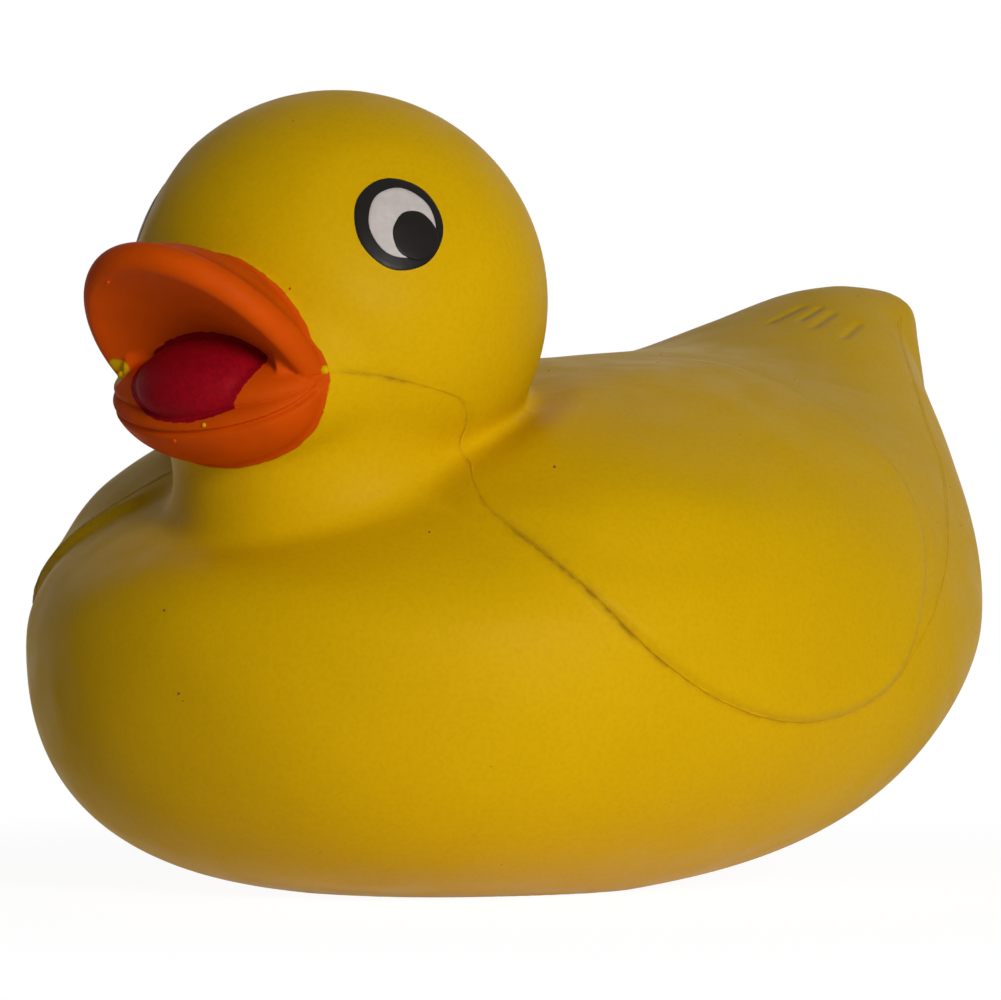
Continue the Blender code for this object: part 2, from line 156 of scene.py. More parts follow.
# Parting line of the mould on the left, from the mouth corner under the wing and up to the tail
SEAM_LINE = np.array((
    (9.3, -32.7, 38.4), (10.1, -31.1, 38.5), (12.1, -27.3, 37.9), (13.4, -23.2, 36.9),
    (13.4, -21.2, 36.0), (12.6, -19.9, 34.2), (13.0, -20.4, 32.6), (14.7, -22.2, 31.0),
    (17.7, -24.1, 29.2), (22.4, -24.3, 26.1), (26.4, -22.5, 22.2), (28.2, -20.2, 19.3),
    (30.0, -15.5, 16.0), (31.0, -10.7, 14.1), (31.5, -6.5, 13.4), (31.9, -2.1, 13.7),
    (32.2, 3.8, 15.1), (32.1, 7.1, 17.2), (31.4, 11.4, 20.8), (29.6, 15.6, 24.3),
    (26.8, 19.9, 27.6), (22.9, 25.4, 31.1), (19.5, 28.9, 33.9), (16.1, 32.9, 36.4),
    (10.7, 39.0, 40.1), (6.3, 43.8, 42.7),
)) * MM
SEAM_SAMPLES = 1200
SEAM_WINDOW = 9  # samples each side that even out the line
SEAM_SMOOTHINGS = 2
SEAM_STEP = 0.15 * MM
SEAM_SUNK = 0.10 * MM
SEAM_WATCH = 3.0  # millimetres either side of the seam that its attributes cover
# Where grime has gathered along the seam: (y, z), how much, and how far it spreads, in millimetres
SEAM_GRIME = (
    (-23.6, 24.5, 1.0, 4.2), (-20.2, 19.3, 0.7, 3.6), (-28.2, 38.1, 0.8, 2.4),
    (-10.7, 14.1, 0.25, 6.0), (15.6, 24.3, 0.25, 5.0), (-20.0, 35.0, 0.5, 2.0),
)

# Eyes, three printed discs on each temple
EYE_TURN = math.radians(57.4)  # from straight ahead, to each side
EYE_LIFT = math.radians(21.6)  # above the level of the centre of the head
PRINT_EDGE = 0.04 * MM
PRINT_ROOT = 0.5 * MM
PRINT_RINGS = 10
PRINT_SEGMENTS = 72
PRINT_TALLER = 1.07  # the prints are a little taller than wide
PRINT_WANDER = 0.03 * MM  # how far the hand-printed edge strays from a circle
PRINT_ROUND = ((1.0, 1.0), (0.3, 0.72), (0.0, 0.2))  # how far in from the edge, and share of the height
WHITE_BACK = 0.2 * MM  # how far the white sits behind the ring's middle
BLACK_ROUGHNESS, WHITE_ROUGHNESS = 0.36, 0.44

# The body's lines, front to back: where each section stands along the body, and its half width,
# keel, waist and back, as shares of the body's length, half width and back height. The last
# column is how much of the tail's rise the whole section takes.
Station = namedtuple("Station", "along half keel waist back lift")
BREAST_TIP = Station(0.000, 0.00, 0.505, 0.505, 0.505, 0.0)
STATIONS = (
    Station(0.020, 0.31, 0.295, 0.495, 0.620, 0.0),
    Station(0.070, 0.558, 0.128, 0.490, 0.690, 0.0),
    Station(0.150, 0.778, 0.030, 0.485, 0.790, 0.0),
    Station(0.275, 0.945, -0.012, 0.490, 0.930, 0.0),
    Station(0.435, 1.005, -0.022, 0.495, 1.017, 0.0),
    Station(0.590, 0.965, 0.032, 0.485, 1.034, 0.05),
    Station(0.730, 0.812, 0.204, 0.478, 1.012, 0.28),
    Station(0.830, 0.590, 0.350, 0.500, 1.000, 0.68),
    Station(0.890, 0.424, 0.412, 0.535, 1.000, 0.92),
    Station(0.920, 0.322, 0.490, 0.640, 1.000, 0.98),
    Station(0.942, 0.260, 0.600, 0.765, 1.000, 1.0),
    Station(0.966, 0.196, 0.750, 0.880, 0.998, 1.0),
    Station(0.988, 0.142, 0.890, 0.945, 0.992, 1.0),
)
TAIL_TIP = Station(1.000, 0.00, 0.960, 0.960, 0.960, 1.0)
BACK_POWER = 2.1  # 2 is an ellipse, and more is squarer
BELLY_POWER = 2.42

# Fineness of the mesh
RING_POINTS = 112
RINGS_PER_STATION = 8
BALL_SEGMENTS = 96
ARC_POINTS = 20
DISH_STEPS = 110
DISH_ROWS = 16
CASTING_SOFTNESS = 2.42 * MM  # how far softening reaches on the joined shapes
SOFTENING = 0.5  # share of the way to its neighbours that a point moves in one pass
MEASURED_REACH = 4 * MM  # how far from a shape its distance is measured
SAME_PLACE = 0.001 * MM  # points closer than this are one

# Small marks that the photograph shows: place, and radius in millimetres
PAINT_DROPS = (
    ((-3.1, -41.7, 44.5), 0.17), ((-0.8, -37.0, 33.5), 0.17), ((6.8, -33.3, 44.3), 0.09),
)
FOAM_DROPS = (((2.3, -37.5, 34.6), 0.17), ((-7.6, -35.0, 38.2), 0.30), ((9.3, -32.6, 38.5), 0.35))
DARK_SPECKS = (
    ((19.3, -18.6, 31.6), 0.11), ((-1.4, -37.4, 21.3), 0.09), ((14.4, -26.9, 26.9), 0.08),
    ((-0.1, -37.4, 15.4), 0.10),
)
# Strokes pressed into the tail: start, end, and half width in millimetres
TAIL_STROKES = (
    ((1.8, 31.8, 42.0), (2.1, 36.9, 43.8), 0.42), ((3.8, 33.4, 42.2), (3.5, 37.2, 43.6), 0.34),
    ((5.7, 32.4, 41.7), (4.9, 37.0, 43.3), 0.40), ((8.5, 32.6, 40.8), (7.2, 37.2, 42.4), 0.36),
)
BARE_CORNER = (-7.6, -35.3, 38.3)  # the far mouth corner, which the brush missed
STROKE_AXIS = 30 * MM  # height of the line that the tail's strokes face away from
STROKE_FADE = (0.7, 1.1)  # shares of a stroke's half length over which it ends
DROP_FINENESS, SPECK_FINENESS = 3, 2
SPECK_LOWEST = 1.0 * MM  # no specks lie under this height
SPECK_SMALLEST, SPECK_LARGEST = 0.02 * MM, 0.05 * MM

# Gloss of the skin and the prints, under the usual 0.5 because both are powdery
FOAM_SPECULAR = 0.035
INK_SPECULAR = 0.10

# Foam's skin: lengths and heights in millimetres, and shares of its own colour
CLOUD_SPACING, CLOUD_SHADE = 14.0, 0.95
GRAIN_SPACING, GRAIN_SHADE, GRAIN_SHARE, GRAIN_HEIGHT = 0.35, 0.5, 0.12, 0.010
PEEL_SPACING, PEEL_HEIGHT = 2.2, 0.030
SATIN_SPACING, SATIN_LOW, SATIN_HIGH = 3.0, 0.44, 0.52
BEAD_ROUGHNESS, BEAD_GRAIN_HEIGHT = 0.48, 0.012
DROP_ROUGHNESS, DUST_ROUGHNESS = 0.42, 0.8

# Seam: the dark line beside the bead, the stain round it and the groove that holds it
SEAM_FADE = (1.0, 1.6)
GRIME_SPACING, GRIME_LEAST, GRIME_ROUGHER = 1.3, 0.35, 0.25
LINE_OFFSET, LINE_WIDTH, LINE_LEAST, LINE_MORE = 0.16, 0.17, 0.18, 0.36
STAIN_WIDTH, STAIN_SHARE = 0.5, 0.26
GROOVE_OFFSET, GROOVE_WIDTH, GROOVE_HEIGHT = 0.14, 0.13, -0.045
BEAD_DIRT_SPACING, BEAD_DIRT_LEAST, BEAD_DIRT_MOST, BEAD_DIRT_GATHERED = 2.6, 0.04, 0.16, 0.28
BEAD_UNEVENNESS, BEAD_LUMP_SPACING, BEAD_SIDES = 0.8, 1.4 * MM, 10
DIRTIEST = 3  # places of SEAM_GRIME that also brown the bead

# Paint: how far its edge strays, where it ends off the bill and the tongue, and how thick it is
BILL_STRAY_SPACING, BILL_STRAY, BILL_EDGE = 1.1, 0.30, (0.22, 0.32)
TONGUE_STRAY_SPACING, TONGUE_STRAY, TONGUE_EDGE = 0.6, 0.36, (0.32, 0.40)
BARE_RADIUS, BARE_RAGGED = (0.85, 1.10), 2.5
BRUSH_SPACING, BRUSH_SHADE = 2.4, 0.92
DAB_SPACING, DAB_SHADE, DAB_HEIGHT = 0.45, 0.8, 0.07
PAINT_HEIGHT, PAINT_ROUGHER = 0.05, 0.06
TAIL_STROKE_HEIGHT = -0.17
INK_SHADE, INK_HEIGHT = 0.86, 0.008

# Stage: a white paper sweep, two round lamps placed round from the camera, and the camera
WHITE, WARM_WHITE, PAPER = (1.0, 1.0, 1.0, 1.0), (1.0, 0.97, 0.92, 1.0), (0.86, 0.86, 0.85, 1.0)
FLOOR_HALF = 1.5
SHADOW_NEAR, SHADOW_FAR = 45.0, 110.0  # millimetres over which the floor's shadow fades out
SHADOW_SHARE = 0.16  # how much of the near floor's white comes from the lamps
SHADOW_GLOW = 0.94
# Painted bounce light: for rays other than the camera's, the paper glows warm white, strongest at this place
# and gone between these two distances, in millimetres
GLOW_PLACE = (120.0, -50.0, 0.0)  # brightest place of the paper, in millimetres
GLOW_NEAR, GLOW_FAR = 60.0, 200.0
AIM_HEIGHT = 28 * MM
KEY_TURN = math.radians(24)
KEY_LIFT = math.radians(13)
KEY_SIZE = 300 * MM
KEY_AWAY = 900 * MM
FILL_TURN = math.radians(30)
FILL_LIFT = math.radians(60)
FILL_SIZE = 600 * MM
FILL_AWAY = 800 * MM
PIXELS = 1001
HEAD_LEFT, HEAD_UP = 164.0, 198.6  # the head's centre from the middle of the picture, in pixels
SENSOR = 36.0  # millimetres


def linear(hex_colour):
    """An sRGB hex colour as linear red, green and blue."""
    shares = [int(hex_colour[i:i + 2], 16) / 255 for i in (1, 3, 5)]
    return tuple(s / 12.92 if s <= 0.04045 else ((s + 0.055) / 1.055) ** 2.4 for s in shares)


def colour_property(name, description, hex_colour):
    return FloatVectorProperty(
        name=name, description=description, subtype="COLOR", min=0.0, max=1.0,
        default=linear(hex_colour),
    )


def length_property(name, description, default):
    return FloatProperty(
        name=name, description=description, subtype="DISTANCE", unit="LENGTH", min=0.0,
        default=default,
    )


class DuckShape(bpy.types.PropertyGroup):
    """Sizes of the moulding and its prints."""

    head_radius: length_property("Head radius", "Radius of the round head", 15.5 * MM)
    body_length: length_property("Body length", "Breast to tail tip", 87.0 * MM)
    body_width: length_property("Body width", "Across the belly, without the wings", 65.0 * MM)
    back_height: length_property("Back height", "Table to the back", 38.0 * MM)
    wing_raise: length_property("Wing raise", "How far the wings stand out", 0.65 * MM)
    wing_edge: length_property("Wing edge", "Width of the slope at a wing's edge", 0.8 * MM)
    grain: length_property("Grain", "Spacing of the moulding's mesh", 0.46 * MM)
    seam_radius: length_property("Seam radius", "Radius of the bead on the parting line", 0.14 * MM)
    eye_radius: length_property("Eye radius", "Radius of an eye's black ring", 3.45 * MM)
    white_radius: length_property("White radius", "Radius of an eye's white", 2.6 * MM)
    pupil_radius: length_property("Pupil radius", "Radius of a pupil", 1.8 * MM)
    pupil_back: length_property("Pupil back", "How far a pupil sits behind the eye's middle", 1.1 * MM)
    pupil_down: length_property("Pupil down", "How far a pupil sits below the eye's middle", 1.05 * MM)
    speck_count: IntProperty(
        name="Specks", description="Specks of dust on the moulding", min=0, default=70,
    )
    speck_seed: IntProperty(name="Speck seed", description="Changes where the specks lie", default=11)


class DuckFinish(bpy.types.PropertyGroup):
    """Colours of the foam, the paints and the grime."""

    foam: colour_property("Foam", "Dyed polyurethane foam", "#D4A602")
    orange: colour_property("Orange", "Paint on the bill", "#CC4B02")
    red: colour_property("Red", "Paint on the tongue", "#940818")
    black: colour_property("Black", "Printed ring and pupil", "#15110D")
    white: colour_property("White", "Printed white of the eye", "#C9BFBA")
    grime: colour_property("Grime", "Dirt along the seam", "#7A5212")


class DuckStage(bpy.types.PropertyGroup):
    """Camera and lamps."""

    azimuth: FloatProperty(
        name="Azimuth", description="Camera's turn round the duck", subtype="ANGLE",
        default=math.radians(37.5),
    )
    elevation: FloatProperty(
        name="Elevation", description="Camera's height above the horizon", subtype="ANGLE",
        default=math.radians(1.0),
    )
    distance: length_property("Distance", "Camera to the head", 600 * MM)
    lens: FloatProperty(
        name="Lens", description="Focal length", subtype="DISTANCE_CAMERA", default=295.2,
    )
    key: FloatProperty(name="Key", description="Power of the key lamp", unit="POWER", default=5.6)
    fill: FloatProperty(name="Fill", description="Power of the fill lamp", unit="POWER", default=0.18)
    # Strength of the paper's painted glow, an emission that lights the belly as bounced light would
    sweep: FloatProperty(name="Sweep", description="Light thrown up by the paper", min=0.0, default=0.3)
    room: FloatProperty(name="Room", description="Light from all round", min=0.0, default=0.07)


def smooth_step(share):
    """0 up to share 0, 1 from share 1, and an even ramp between."""
    share = np.clip(share, 0.0, 1.0)
    return share * share * (3 - 2 * share)


def on_curve(rows, places):
    """Points on the smooth curve through the given rows, where place 0 is the second row."""
    index = np.minimum(places.astype(int), len(rows) - 4)
    t = (places - index)[:, None]
    around = [rows[index + k] for k in range(4)]
    return (
        around[0] * (-t + 2 * t * t - t**3)
        + around[1] * (2 - 5 * t * t + 3 * t**3)
        + around[2] * (t + 4 * t * t - 3 * t**3)
        + around[3] * (-t * t + t**3)
    ) / 2


def beyond(tip, neighbour):
    """The mirrored station past a tip, which makes the lines meet the tip squarely."""
    return Station(
        neighbour.along, -neighbour.half, neighbour.back, neighbour.waist, neighbour.keel, tip.lift,
    )


def section(shape, station, turns):
    """Points of the body's skin at a station, with its own height above and below the waist."""
    across, up = np.cos(turns), np.sin(turns)
    above = up > 0
    reach = np.where(above, station.back - station.waist, station.waist - station.keel)
    share = np.where(above, 2 / BACK_POWER, 2 / BELLY_POWER)
    height = station.waist + reach * np.sign(up) * np.abs(up) ** share
    return np.stack((
        shape.body_width / 2 * station.half * np.sign(across) * np.abs(across) ** share,
        np.full(len(turns), shape.body_length * station.along - BREAST_FORWARD),
        shape.back_height * height + TAIL_RISE * station.lift,
    ), axis=1)


def shell_over_rings(rings, first_pole, last_pole):
    """Points and faces of a shell over rings of equal count, with a fan to a point at each end."""
    count, last = len(rings[0]), len(rings) - 1
    points = [tuple(point) for ring in rings for point in ring]
    points += [tuple(first_pole), tuple(last_pole)]
    faces = []
    for row in range(last):
        for i in range(count):
            j = (i + 1) % count
            start, above = row * count, (row + 1) * count
            faces.append((start + i, start + j, above + j, above + i))
    for start, pole in ((0, len(points) - 2), (last * count, len(points) - 1)):
        faces += [(start + i, start + (i + 1) % count, pole) for i in range(count)]
    return points, faces


def body(shape):
    before, after = beyond(BREAST_TIP, STATIONS[0]), beyond(TAIL_TIP, STATIONS[-1])
    stations = [before, BREAST_TIP, *STATIONS, TAIL_TIP, after]
    steps = (len(stations) - 3) * RINGS_PER_STATION
    between = on_curve(np.array(stations), np.arange(1, steps) / RINGS_PER_STATION)
    turns = np.arange(RING_POINTS) / RING_POINTS * math.tau
    rings = [section(shape, Station(*row), turns) for row in between]
    tips = [section(shape, tip, np.zeros(1))[0] for tip in (BREAST_TIP, TAIL_TIP)]
    return shell_over_rings(rings, *tips)


def turned(profile, place):
    """A shell of (radius, height) points from top to bottom, turned about a standing line."""
    turns = np.arange(BALL_SEGMENTS) / BALL_SEGMENTS * math.tau
    rings = [
        [Vector((math.cos(t) * radius, math.sin(t) * radius, height)) + place for t in turns]
        for radius, height in profile[1:-1]
    ]
    poles = [Vector((0.0, 0.0, height)) + place for _, height in (profile[0], profile[-1])]
    return shell_over_rings(rings, *poles)


def ball(halves, place, tilt=0.0):
    """A round or flattened ball."""
    lean = Matrix.Rotation(-tilt, 3, "X")
    rows = BALL_SEGMENTS // 2
    lifts = [math.pi * row / rows for row in range(rows + 1)]
    points, faces = turned([(math.sin(t), math.cos(t)) for t in lifts], Vector())
    return [lean @ Vector(np.multiply(point, halves)) + place for point in points], faces


def neck(shape):
    foot = shape.back_height * NECK_FOOT
    top = HEAD_CENTRE.z
    profile = [(0.0, top), (NECK_RADIUS, top - shape.head_radius * NECK_TOP_DROP)]
    for i in range(ARC_POINTS + 1):
        turn = math.pi / 2 * i / ARC_POINTS
        profile.append((
            NECK_RADIUS + NECK_FLARE * (1 - math.cos(turn)),
            foot + NECK_FLARE * (1 - math.sin(turn)),
        ))
    profile += [(NECK_RADIUS + NECK_FLARE, foot - NECK_FLARE), (0.0, foot - NECK_FLARE)]
    return turned(profile, Vector((0.0, HEAD_CENTRE.y - NECK_FORWARD, 0.0)))


def ahead_of_head(forward, up):
    return HEAD_CENTRE + Vector((0.0, -forward, up))


def dished_oval(bill, outline):
    """Points and faces of a bill. The outline is (share of the radius, height) from the middle of
    the top round the lip to the middle of the underside, and it thins towards the mouth corners."""
    lean = Matrix.Rotation(-bill.tilt, 3, "X")
    place = ahead_of_head(MOUTH_FORWARD, -MOUTH_DROP)
    points = []
    for i in range(DISH_STEPS + 1):
        turn = (math.pi + 2 * bill.back) * i / DISH_STEPS - bill.back
        far = smooth_step(-math.cos(turn) / FAR_BLEND)
        across = math.cos(turn) * bill.half_width * (1 - bill.far_narrow * far)
        reach = math.sin(turn) * bill.length
        full = smooth_step((math.sin(turn) - CORNER_START) / (CORNER_END - CORNER_START))
        thinned = (1 - CORNER_THICKNESS) * (1 - full)
        for share, height in outline:
            crown = max(height - UPPER_LIP, 0.0) * (1 - bill.far_low * far * share * share)
            rise = (min(height, UPPER_LIP) + crown) * (1 - thinned * share * share)
            points.append(lean @ Vector((across * share, -bill.ahead - reach * share, rise)) + place)
    count = len(outline)
    faces = []
    for row in range(DISH_STEPS + 1):
        start, beside = row * count, (row + 1) % (DISH_STEPS + 1) * count
        for i in range(count - 1):
            faces.append((start + i, beside + i, beside + i + 1, start + i + 1))
    return points, faces


def upper_bill():
    rim = 1 - UPPER_LIP / UPPER_BILL.length
    steps = [i / DISH_ROWS for i in range(DISH_ROWS)]
    crown = UPPER_CROWN - UPPER_LIP
    top = [(rim * s, UPPER_LIP + crown * (1 - s * s) ** UPPER_FULLNESS) for s in steps]
    turns = [math.pi * i / ARC_POINTS for i in range(ARC_POINTS + 1)]
    lip = [(rim + (1 - rim) * math.sin(t), UPPER_LIP * math.cos(t)) for t in turns]
    under = [(rim * s, -UPPER_LIP + UPPER_HOLLOW * (1 - s * s)) for s in reversed(steps)]
    return dished_oval(UPPER_BILL, top + lip + under)


def lower_bill():
    """The cup under the tongue, with the groove that runs below its rounded lip."""
    rim = 1 - LOWER_LIP / LOWER_BILL.length
    steps = [i / DISH_ROWS for i in range(DISH_ROWS)]
    floor = [(rim * s, -LOWER_HOLLOW * (1 - s**2)) for s in steps]
    turns = [math.pi / 2 * i / ARC_POINTS for i in range(ARC_POINTS + 1)]
    lip = [(rim + (1 - rim) * math.sin(t), LOWER_LIP * (math.cos(t) - 1)) for t in turns]
    bowl = []
    for i in range(1, 2 * ARC_POINTS + 1):
        t = math.pi / 2 * (i / (2 * ARC_POINTS)) ** BOWL_SPREAD
        bowl.append((math.cos(t), -LOWER_LIP - (LOWER_DEPTH - LOWER_LIP) * math.sin(t)))
    grooved = []
    for share, height in floor + lip + bowl:
        off = (height + LIP_GROOVE_DROP) / LIP_GROOVE_WIDTH
        cut = LIP_GROOVE_DEPTH / LOWER_BILL.length * math.exp(-off * off)
        grooved.append((share - cut if share > rim else share, height))
    return dished_oval(LOWER_BILL, grooved)


def tongue():
    place = ahead_of_head(MOUTH_FORWARD + TONGUE_FORWARD, -MOUTH_DROP - TONGUE_DROP)
    return ball(TONGUE_HALVES, place, TONGUE_TILT)


def cushion():
    place = ahead_of_head(MOUTH_FORWARD + CUSHION_FORWARD, -MOUTH_DROP - CUSHION_DROP)
    return ball(CUSHION_HALVES, place, TONGUE_TILT)


def mouth_hollow():
    return ball(MOUTH_HALVES, ahead_of_head(MOUTH_FORWARD + MOUTH_AHEAD, -MOUTH_DROP))


def mesh_of(name, *shells):
    """One mesh of closed shells, each facing outwards."""
    bm = bmesh.new()
    for points, faces in shells:
        made = [bm.verts.new(point) for point in points]
        for face in faces:
            bm.faces.new([made[i] for i in face])
    bmesh.ops.remove_doubles(bm, verts=bm.verts, dist=SAME_PLACE)
    bmesh.ops.recalc_face_normals(bm, faces=bm.faces)
    mesh = bpy.data.meshes.new(name)
    bm.to_mesh(mesh)
    bm.free()
    return mesh


def new_object(name, mesh):
    obj = bpy.data.objects.new(name, mesh)
    bpy.context.scene.collection.objects.link(obj)
    return obj


def discard(*objects):
    for obj in objects:
        bpy.data.objects.remove(obj, do_unlink=True)


def apply_modifiers(obj):
    """Gives the object the mesh that its modifiers make, and takes them off."""
    bpy.context.view_layer.update()
    graph = bpy.context.evaluated_depsgraph_get()
    mesh = bpy.data.meshes.new_from_object(obj.evaluated_get(graph))
    obj.modifiers.clear()
    obj.data = mesh
    mesh.name = obj.name


def combine(obj, operation, shell, name):
    """Joins or cuts a closed shell, and gives its tree back for measuring distances."""
    other = new_object(name, mesh_of(name, shell))
    modifier = obj.modifiers.new(name, "BOOLEAN")
    modifier.operation = operation
    modifier.solver = "MANIFOLD"
    modifier.object = other
    apply_modifiers(obj)
    tree = tree_of(other.data)
    discard(other)
    return tree


def tree_of(mesh):
    corners = [vertex.co.copy() for vertex in mesh.vertices]
    return BVHTree.FromPolygons(corners, [tuple(face.vertices) for face in mesh.polygons])


def read_points(mesh, what="co"):
    values = np.empty(len(mesh.vertices) * 3)
    mesh.vertices.foreach_get(what, values)
    return values.reshape(-1, 3)


def write_points(mesh, points):
    mesh.vertices.foreach_set("co", points.ravel())
    mesh.update()


def store(mesh, name, values):
    mesh.attributes.new(name, "FLOAT", "POINT").data.foreach_set("value", values.astype(np.float32))


def depth_inside(points, loop):
    """How far side-view points lie inside a closed loop, and less than nothing outside it."""
    nearest = np.full(len(points), np.inf)
    inside = np.zeros(len(points), bool)
    for start, end in zip(loop, np.roll(loop, -1, axis=0)):
        along, off = end - start, points - start
        share = np.clip(off @ along / (along @ along), 0.0, 1.0)
        nearest = np.minimum(nearest, np.linalg.norm(off - share[:, None] * along, axis=1))
        if start[1] != end[1]:
            crosses = (start[1] > points[:, 1]) != (end[1] > points[:, 1])
            inside ^= crosses & (points[:, 0] < start[0] + off[:, 1] * along[0] / along[1])
    return np.where(inside, nearest, -nearest)


def eye_direction(side):
    """The way the middle of an eye faces from the centre of the head; side is 1 for the left eye."""
    return Vector((
        side * math.sin(EYE_TURN) * math.cos(EYE_LIFT),
        -math.cos(EYE_TURN) * math.cos(EYE_LIFT),
        math.sin(EYE_LIFT),
    ))


def press_wings_and_temples(mesh, shape):
    """Stands the wings up from the flanks, and flattens the temples."""
    points, normals = read_points(mesh), read_points(mesh, "normal")
    rows = np.concatenate((WING_OUTLINE[-1:], WING_OUTLINE, WING_OUTLINE[:2]))
    loop = on_curve(rows, np.arange(len(WING_OUTLINE) * RINGS_PER_STATION) / RINGS_PER_STATION)
    depth = depth_inside(points[:, 1:], loop)
    edge = smooth_step(0.5 + depth / shape.wing_edge)
    edge *= smooth_step((np.abs(points[:, 0]) - BACK_PLAIN) / BACK_BLEND)
    off_head = np.linalg.norm(points - np.array(HEAD_CENTRE), axis=1) - shape.head_radius
    edge *= smooth_step(off_head / HEAD_CLEAR)
    shoulder = smooth_step(-points[:, 1] / SHOULDER_FORWARD)
    shoulder *= smooth_step((points[:, 2] - SHOULDER_FOOT) / (SHOULDER_TOP - SHOULDER_FOOT))
    shoulder *= smooth_step(depth / SHOULDER_BLEND)
    push = edge * (shape.wing_raise + WING_SHOULDER * shoulder)
    for side in (1, -1):
        middle = np.array(HEAD_CENTRE + eye_direction(side) * shape.head_radius)
        reach = np.linalg.norm(points - middle, axis=1)
        push -= TEMPLE_SINK * smooth_step((TEMPLE_RADIUS - reach) / (TEMPLE_RADIUS - shape.eye_radius))
    write_points(mesh, points + normals * push[:, None])


def distances(tree, points):
    """Distance of each point to the surface in the tree, in millimetres and not past its reach."""
    found = np.full(len(points), MEASURED_REACH / MM)
    for i, point in enumerate(points):
        distance = tree.find_nearest(point, MEASURED_REACH)[3]
        if distance is not None:
            found[i] = distance / MM
    return found


def nape_weights(mesh, shape):
    """1 in the valley between the head and the shoulders, and 0 well away from it."""
    points = read_points(mesh)
    off_head = np.linalg.norm(points - np.array(HEAD_CENTRE), axis=1) - shape.head_radius
    inside = (NAPE_TOP - points[:, 2], points[:, 2] - NAPE_FOOT, points[:, 1] - NAPE_FRONT)
    weights = smooth_step(1 - np.abs(off_head - NAPE_OFF_HEAD) / NAPE_REACH)
    for depth in inside:
        weights *= smooth_step(depth / NAPE_FADE)
    return weights


def soften_creases(mesh, weights, passes):
    """Rounds the places that the weights pick out, by moving points towards their neighbours."""
    edges = np.empty(len(mesh.edges) * 2, np.int64)
    mesh.edges.foreach_get("vertices", edges)
    ends = edges.reshape(-1, 2)
    points = read_points(mesh)
    valence = np.bincount(edges, minlength=len(points))[:, None]
    for _ in range(passes):
        total = np.zeros_like(points)
        for axis in range(3):
            total[:, axis] = np.bincount(ends[:, 0], points[ends[:, 1], axis], len(points))
            total[:, axis] += np.bincount(ends[:, 1], points[ends[:, 0], axis], len(points))
        points += (total / valence - points) * SOFTENING * weights[:, None]
    write_points(mesh, points)


def fit_to_packed_box(mesh):
    """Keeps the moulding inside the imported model's box, and flat where it stands on the table."""
    points = read_points(mesh)
    points[:, 2] = np.maximum(points[:, 2], 0.0)
    low, high = points.min(axis=0), points.max(axis=0)
    packed_low, packed_high = np.array(PACKED_LOW), np.array(PACKED_HIGH)
    points = packed_low + (points - low) * (packed_high - packed_low) / (high - low)
    write_points(mesh, points)


def seam_path(tree, side):
    """The parting line on one side, laid on the nearest skin."""
    line = SEAM_LINE * (side, 1, 1)
    rows = np.concatenate((2 * line[:1] - line[1:2], line, 2 * line[-1:] - line[-2:-1]))
    free = on_curve(rows, np.linspace(0, len(line) - 1, SEAM_SAMPLES))
    laid = np.array([tree.find_nearest(place)[0] for place in free])
    for _ in range(SEAM_SMOOTHINGS):
        evened = np.pad(laid, ((SEAM_WINDOW, SEAM_WINDOW), (0, 0)), mode="edge")
        window = np.ones(2 * SEAM_WINDOW + 1) / (2 * SEAM_WINDOW + 1)
        evened = np.stack([np.convolve(evened[:, axis], window, "valid") for axis in range(3)], axis=1)
        laid = np.array([tree.find_nearest(place)[0] for place in evened])
    walked = np.concatenate(([0.0], np.cumsum(np.linalg.norm(np.diff(laid, axis=0), axis=1))))
    even = np.arange(0.0, walked[-1], SEAM_STEP)
    return np.stack([np.interp(even, walked, laid[:, axis]) for axis in range(3)], axis=1)


def measure_seam(mesh, paths):
    """Stores how far each point of the skin lies from the parting line, and on which side of it."""
    points, normals = read_points(mesh), read_points(mesh, "normal")
    line = np.concatenate(paths)
    tangents = np.concatenate([np.gradient(path, axis=0) for path in paths])
    tree = KDTree(len(line))
    for i, place in enumerate(line):
        tree.insert(place, i)
    tree.balance()
    found = [tree.find(point) for point in points]
    nearest = np.array([index for _, index, _ in found])
    reach = np.array([distance for _, _, distance in found]) / MM
    across = np.cross(normals, tangents[nearest])
    across /= np.maximum(np.linalg.norm(across, axis=1), 1e-12)[:, None]
    side = np.einsum("ij,ij->i", across, points - line[nearest]) / MM
    store(mesh, "seam_side", np.clip(side, -SEAM_WATCH, SEAM_WATCH))
    store(mesh, "seam_reach", np.minimum(reach, SEAM_WATCH))
    grime = np.zeros(len(points))
    for y, z, amount, spread in SEAM_GRIME:
        away = np.linalg.norm(points[:, 1:] / MM - (y, z), axis=1)
        grime += amount * np.exp(-(away / spread) ** 2)
    store(mesh, "seam_grime", np.clip(grime, 0.0, 1.0))


def finish_piece(obj, made):
    """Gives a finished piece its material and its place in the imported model."""
    obj.data.materials.clear()
    obj.data.materials.append(made)
    obj.data.polygons.foreach_set("use_smooth", [True] * len(obj.data.polygons))
    obj.data.polygons.foreach_set("material_index", [0] * len(obj.data.polygons))
    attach(obj, "root")
    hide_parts(CAD_NODE)


def add_node(tree, kind, settings=None, **inputs):
    """A node with its settings. Each input is a value or another node's socket, by name or as _0, _1."""
    node = tree.nodes.new(kind)
    for name, value in (settings or {}).items():
        setattr(node, name, value)
    for name, source in inputs.items():
        socket = node.inputs[int(name[1:]) if name[0] == "_" else name.replace("_", " ")]
        if isinstance(source, bpy.types.NodeSocket):
            tree.links.new(source, socket)
        else:
            socket.default_value = source
    return node


def shade(colour, share=1.0):
    """A colour at a share of its brightness, not see-through."""
    return (*(value * share for value in colour[:3]), 1.0)


def arithmetic(tree, operation, a, b=0.0, clamp=False):
    settings = {"operation": operation, "use_clamp": clamp}
    return add_node(tree, "ShaderNodeMath", settings, _0=a, _1=b).outputs[0]


def blank_material(name):
    """A material with one Principled shader, its tree, and that shader."""
    made = bpy.data.materials.new(name)
    made.use_nodes = True
    return made, made.node_tree, made.node_tree.nodes["Principled BSDF"]


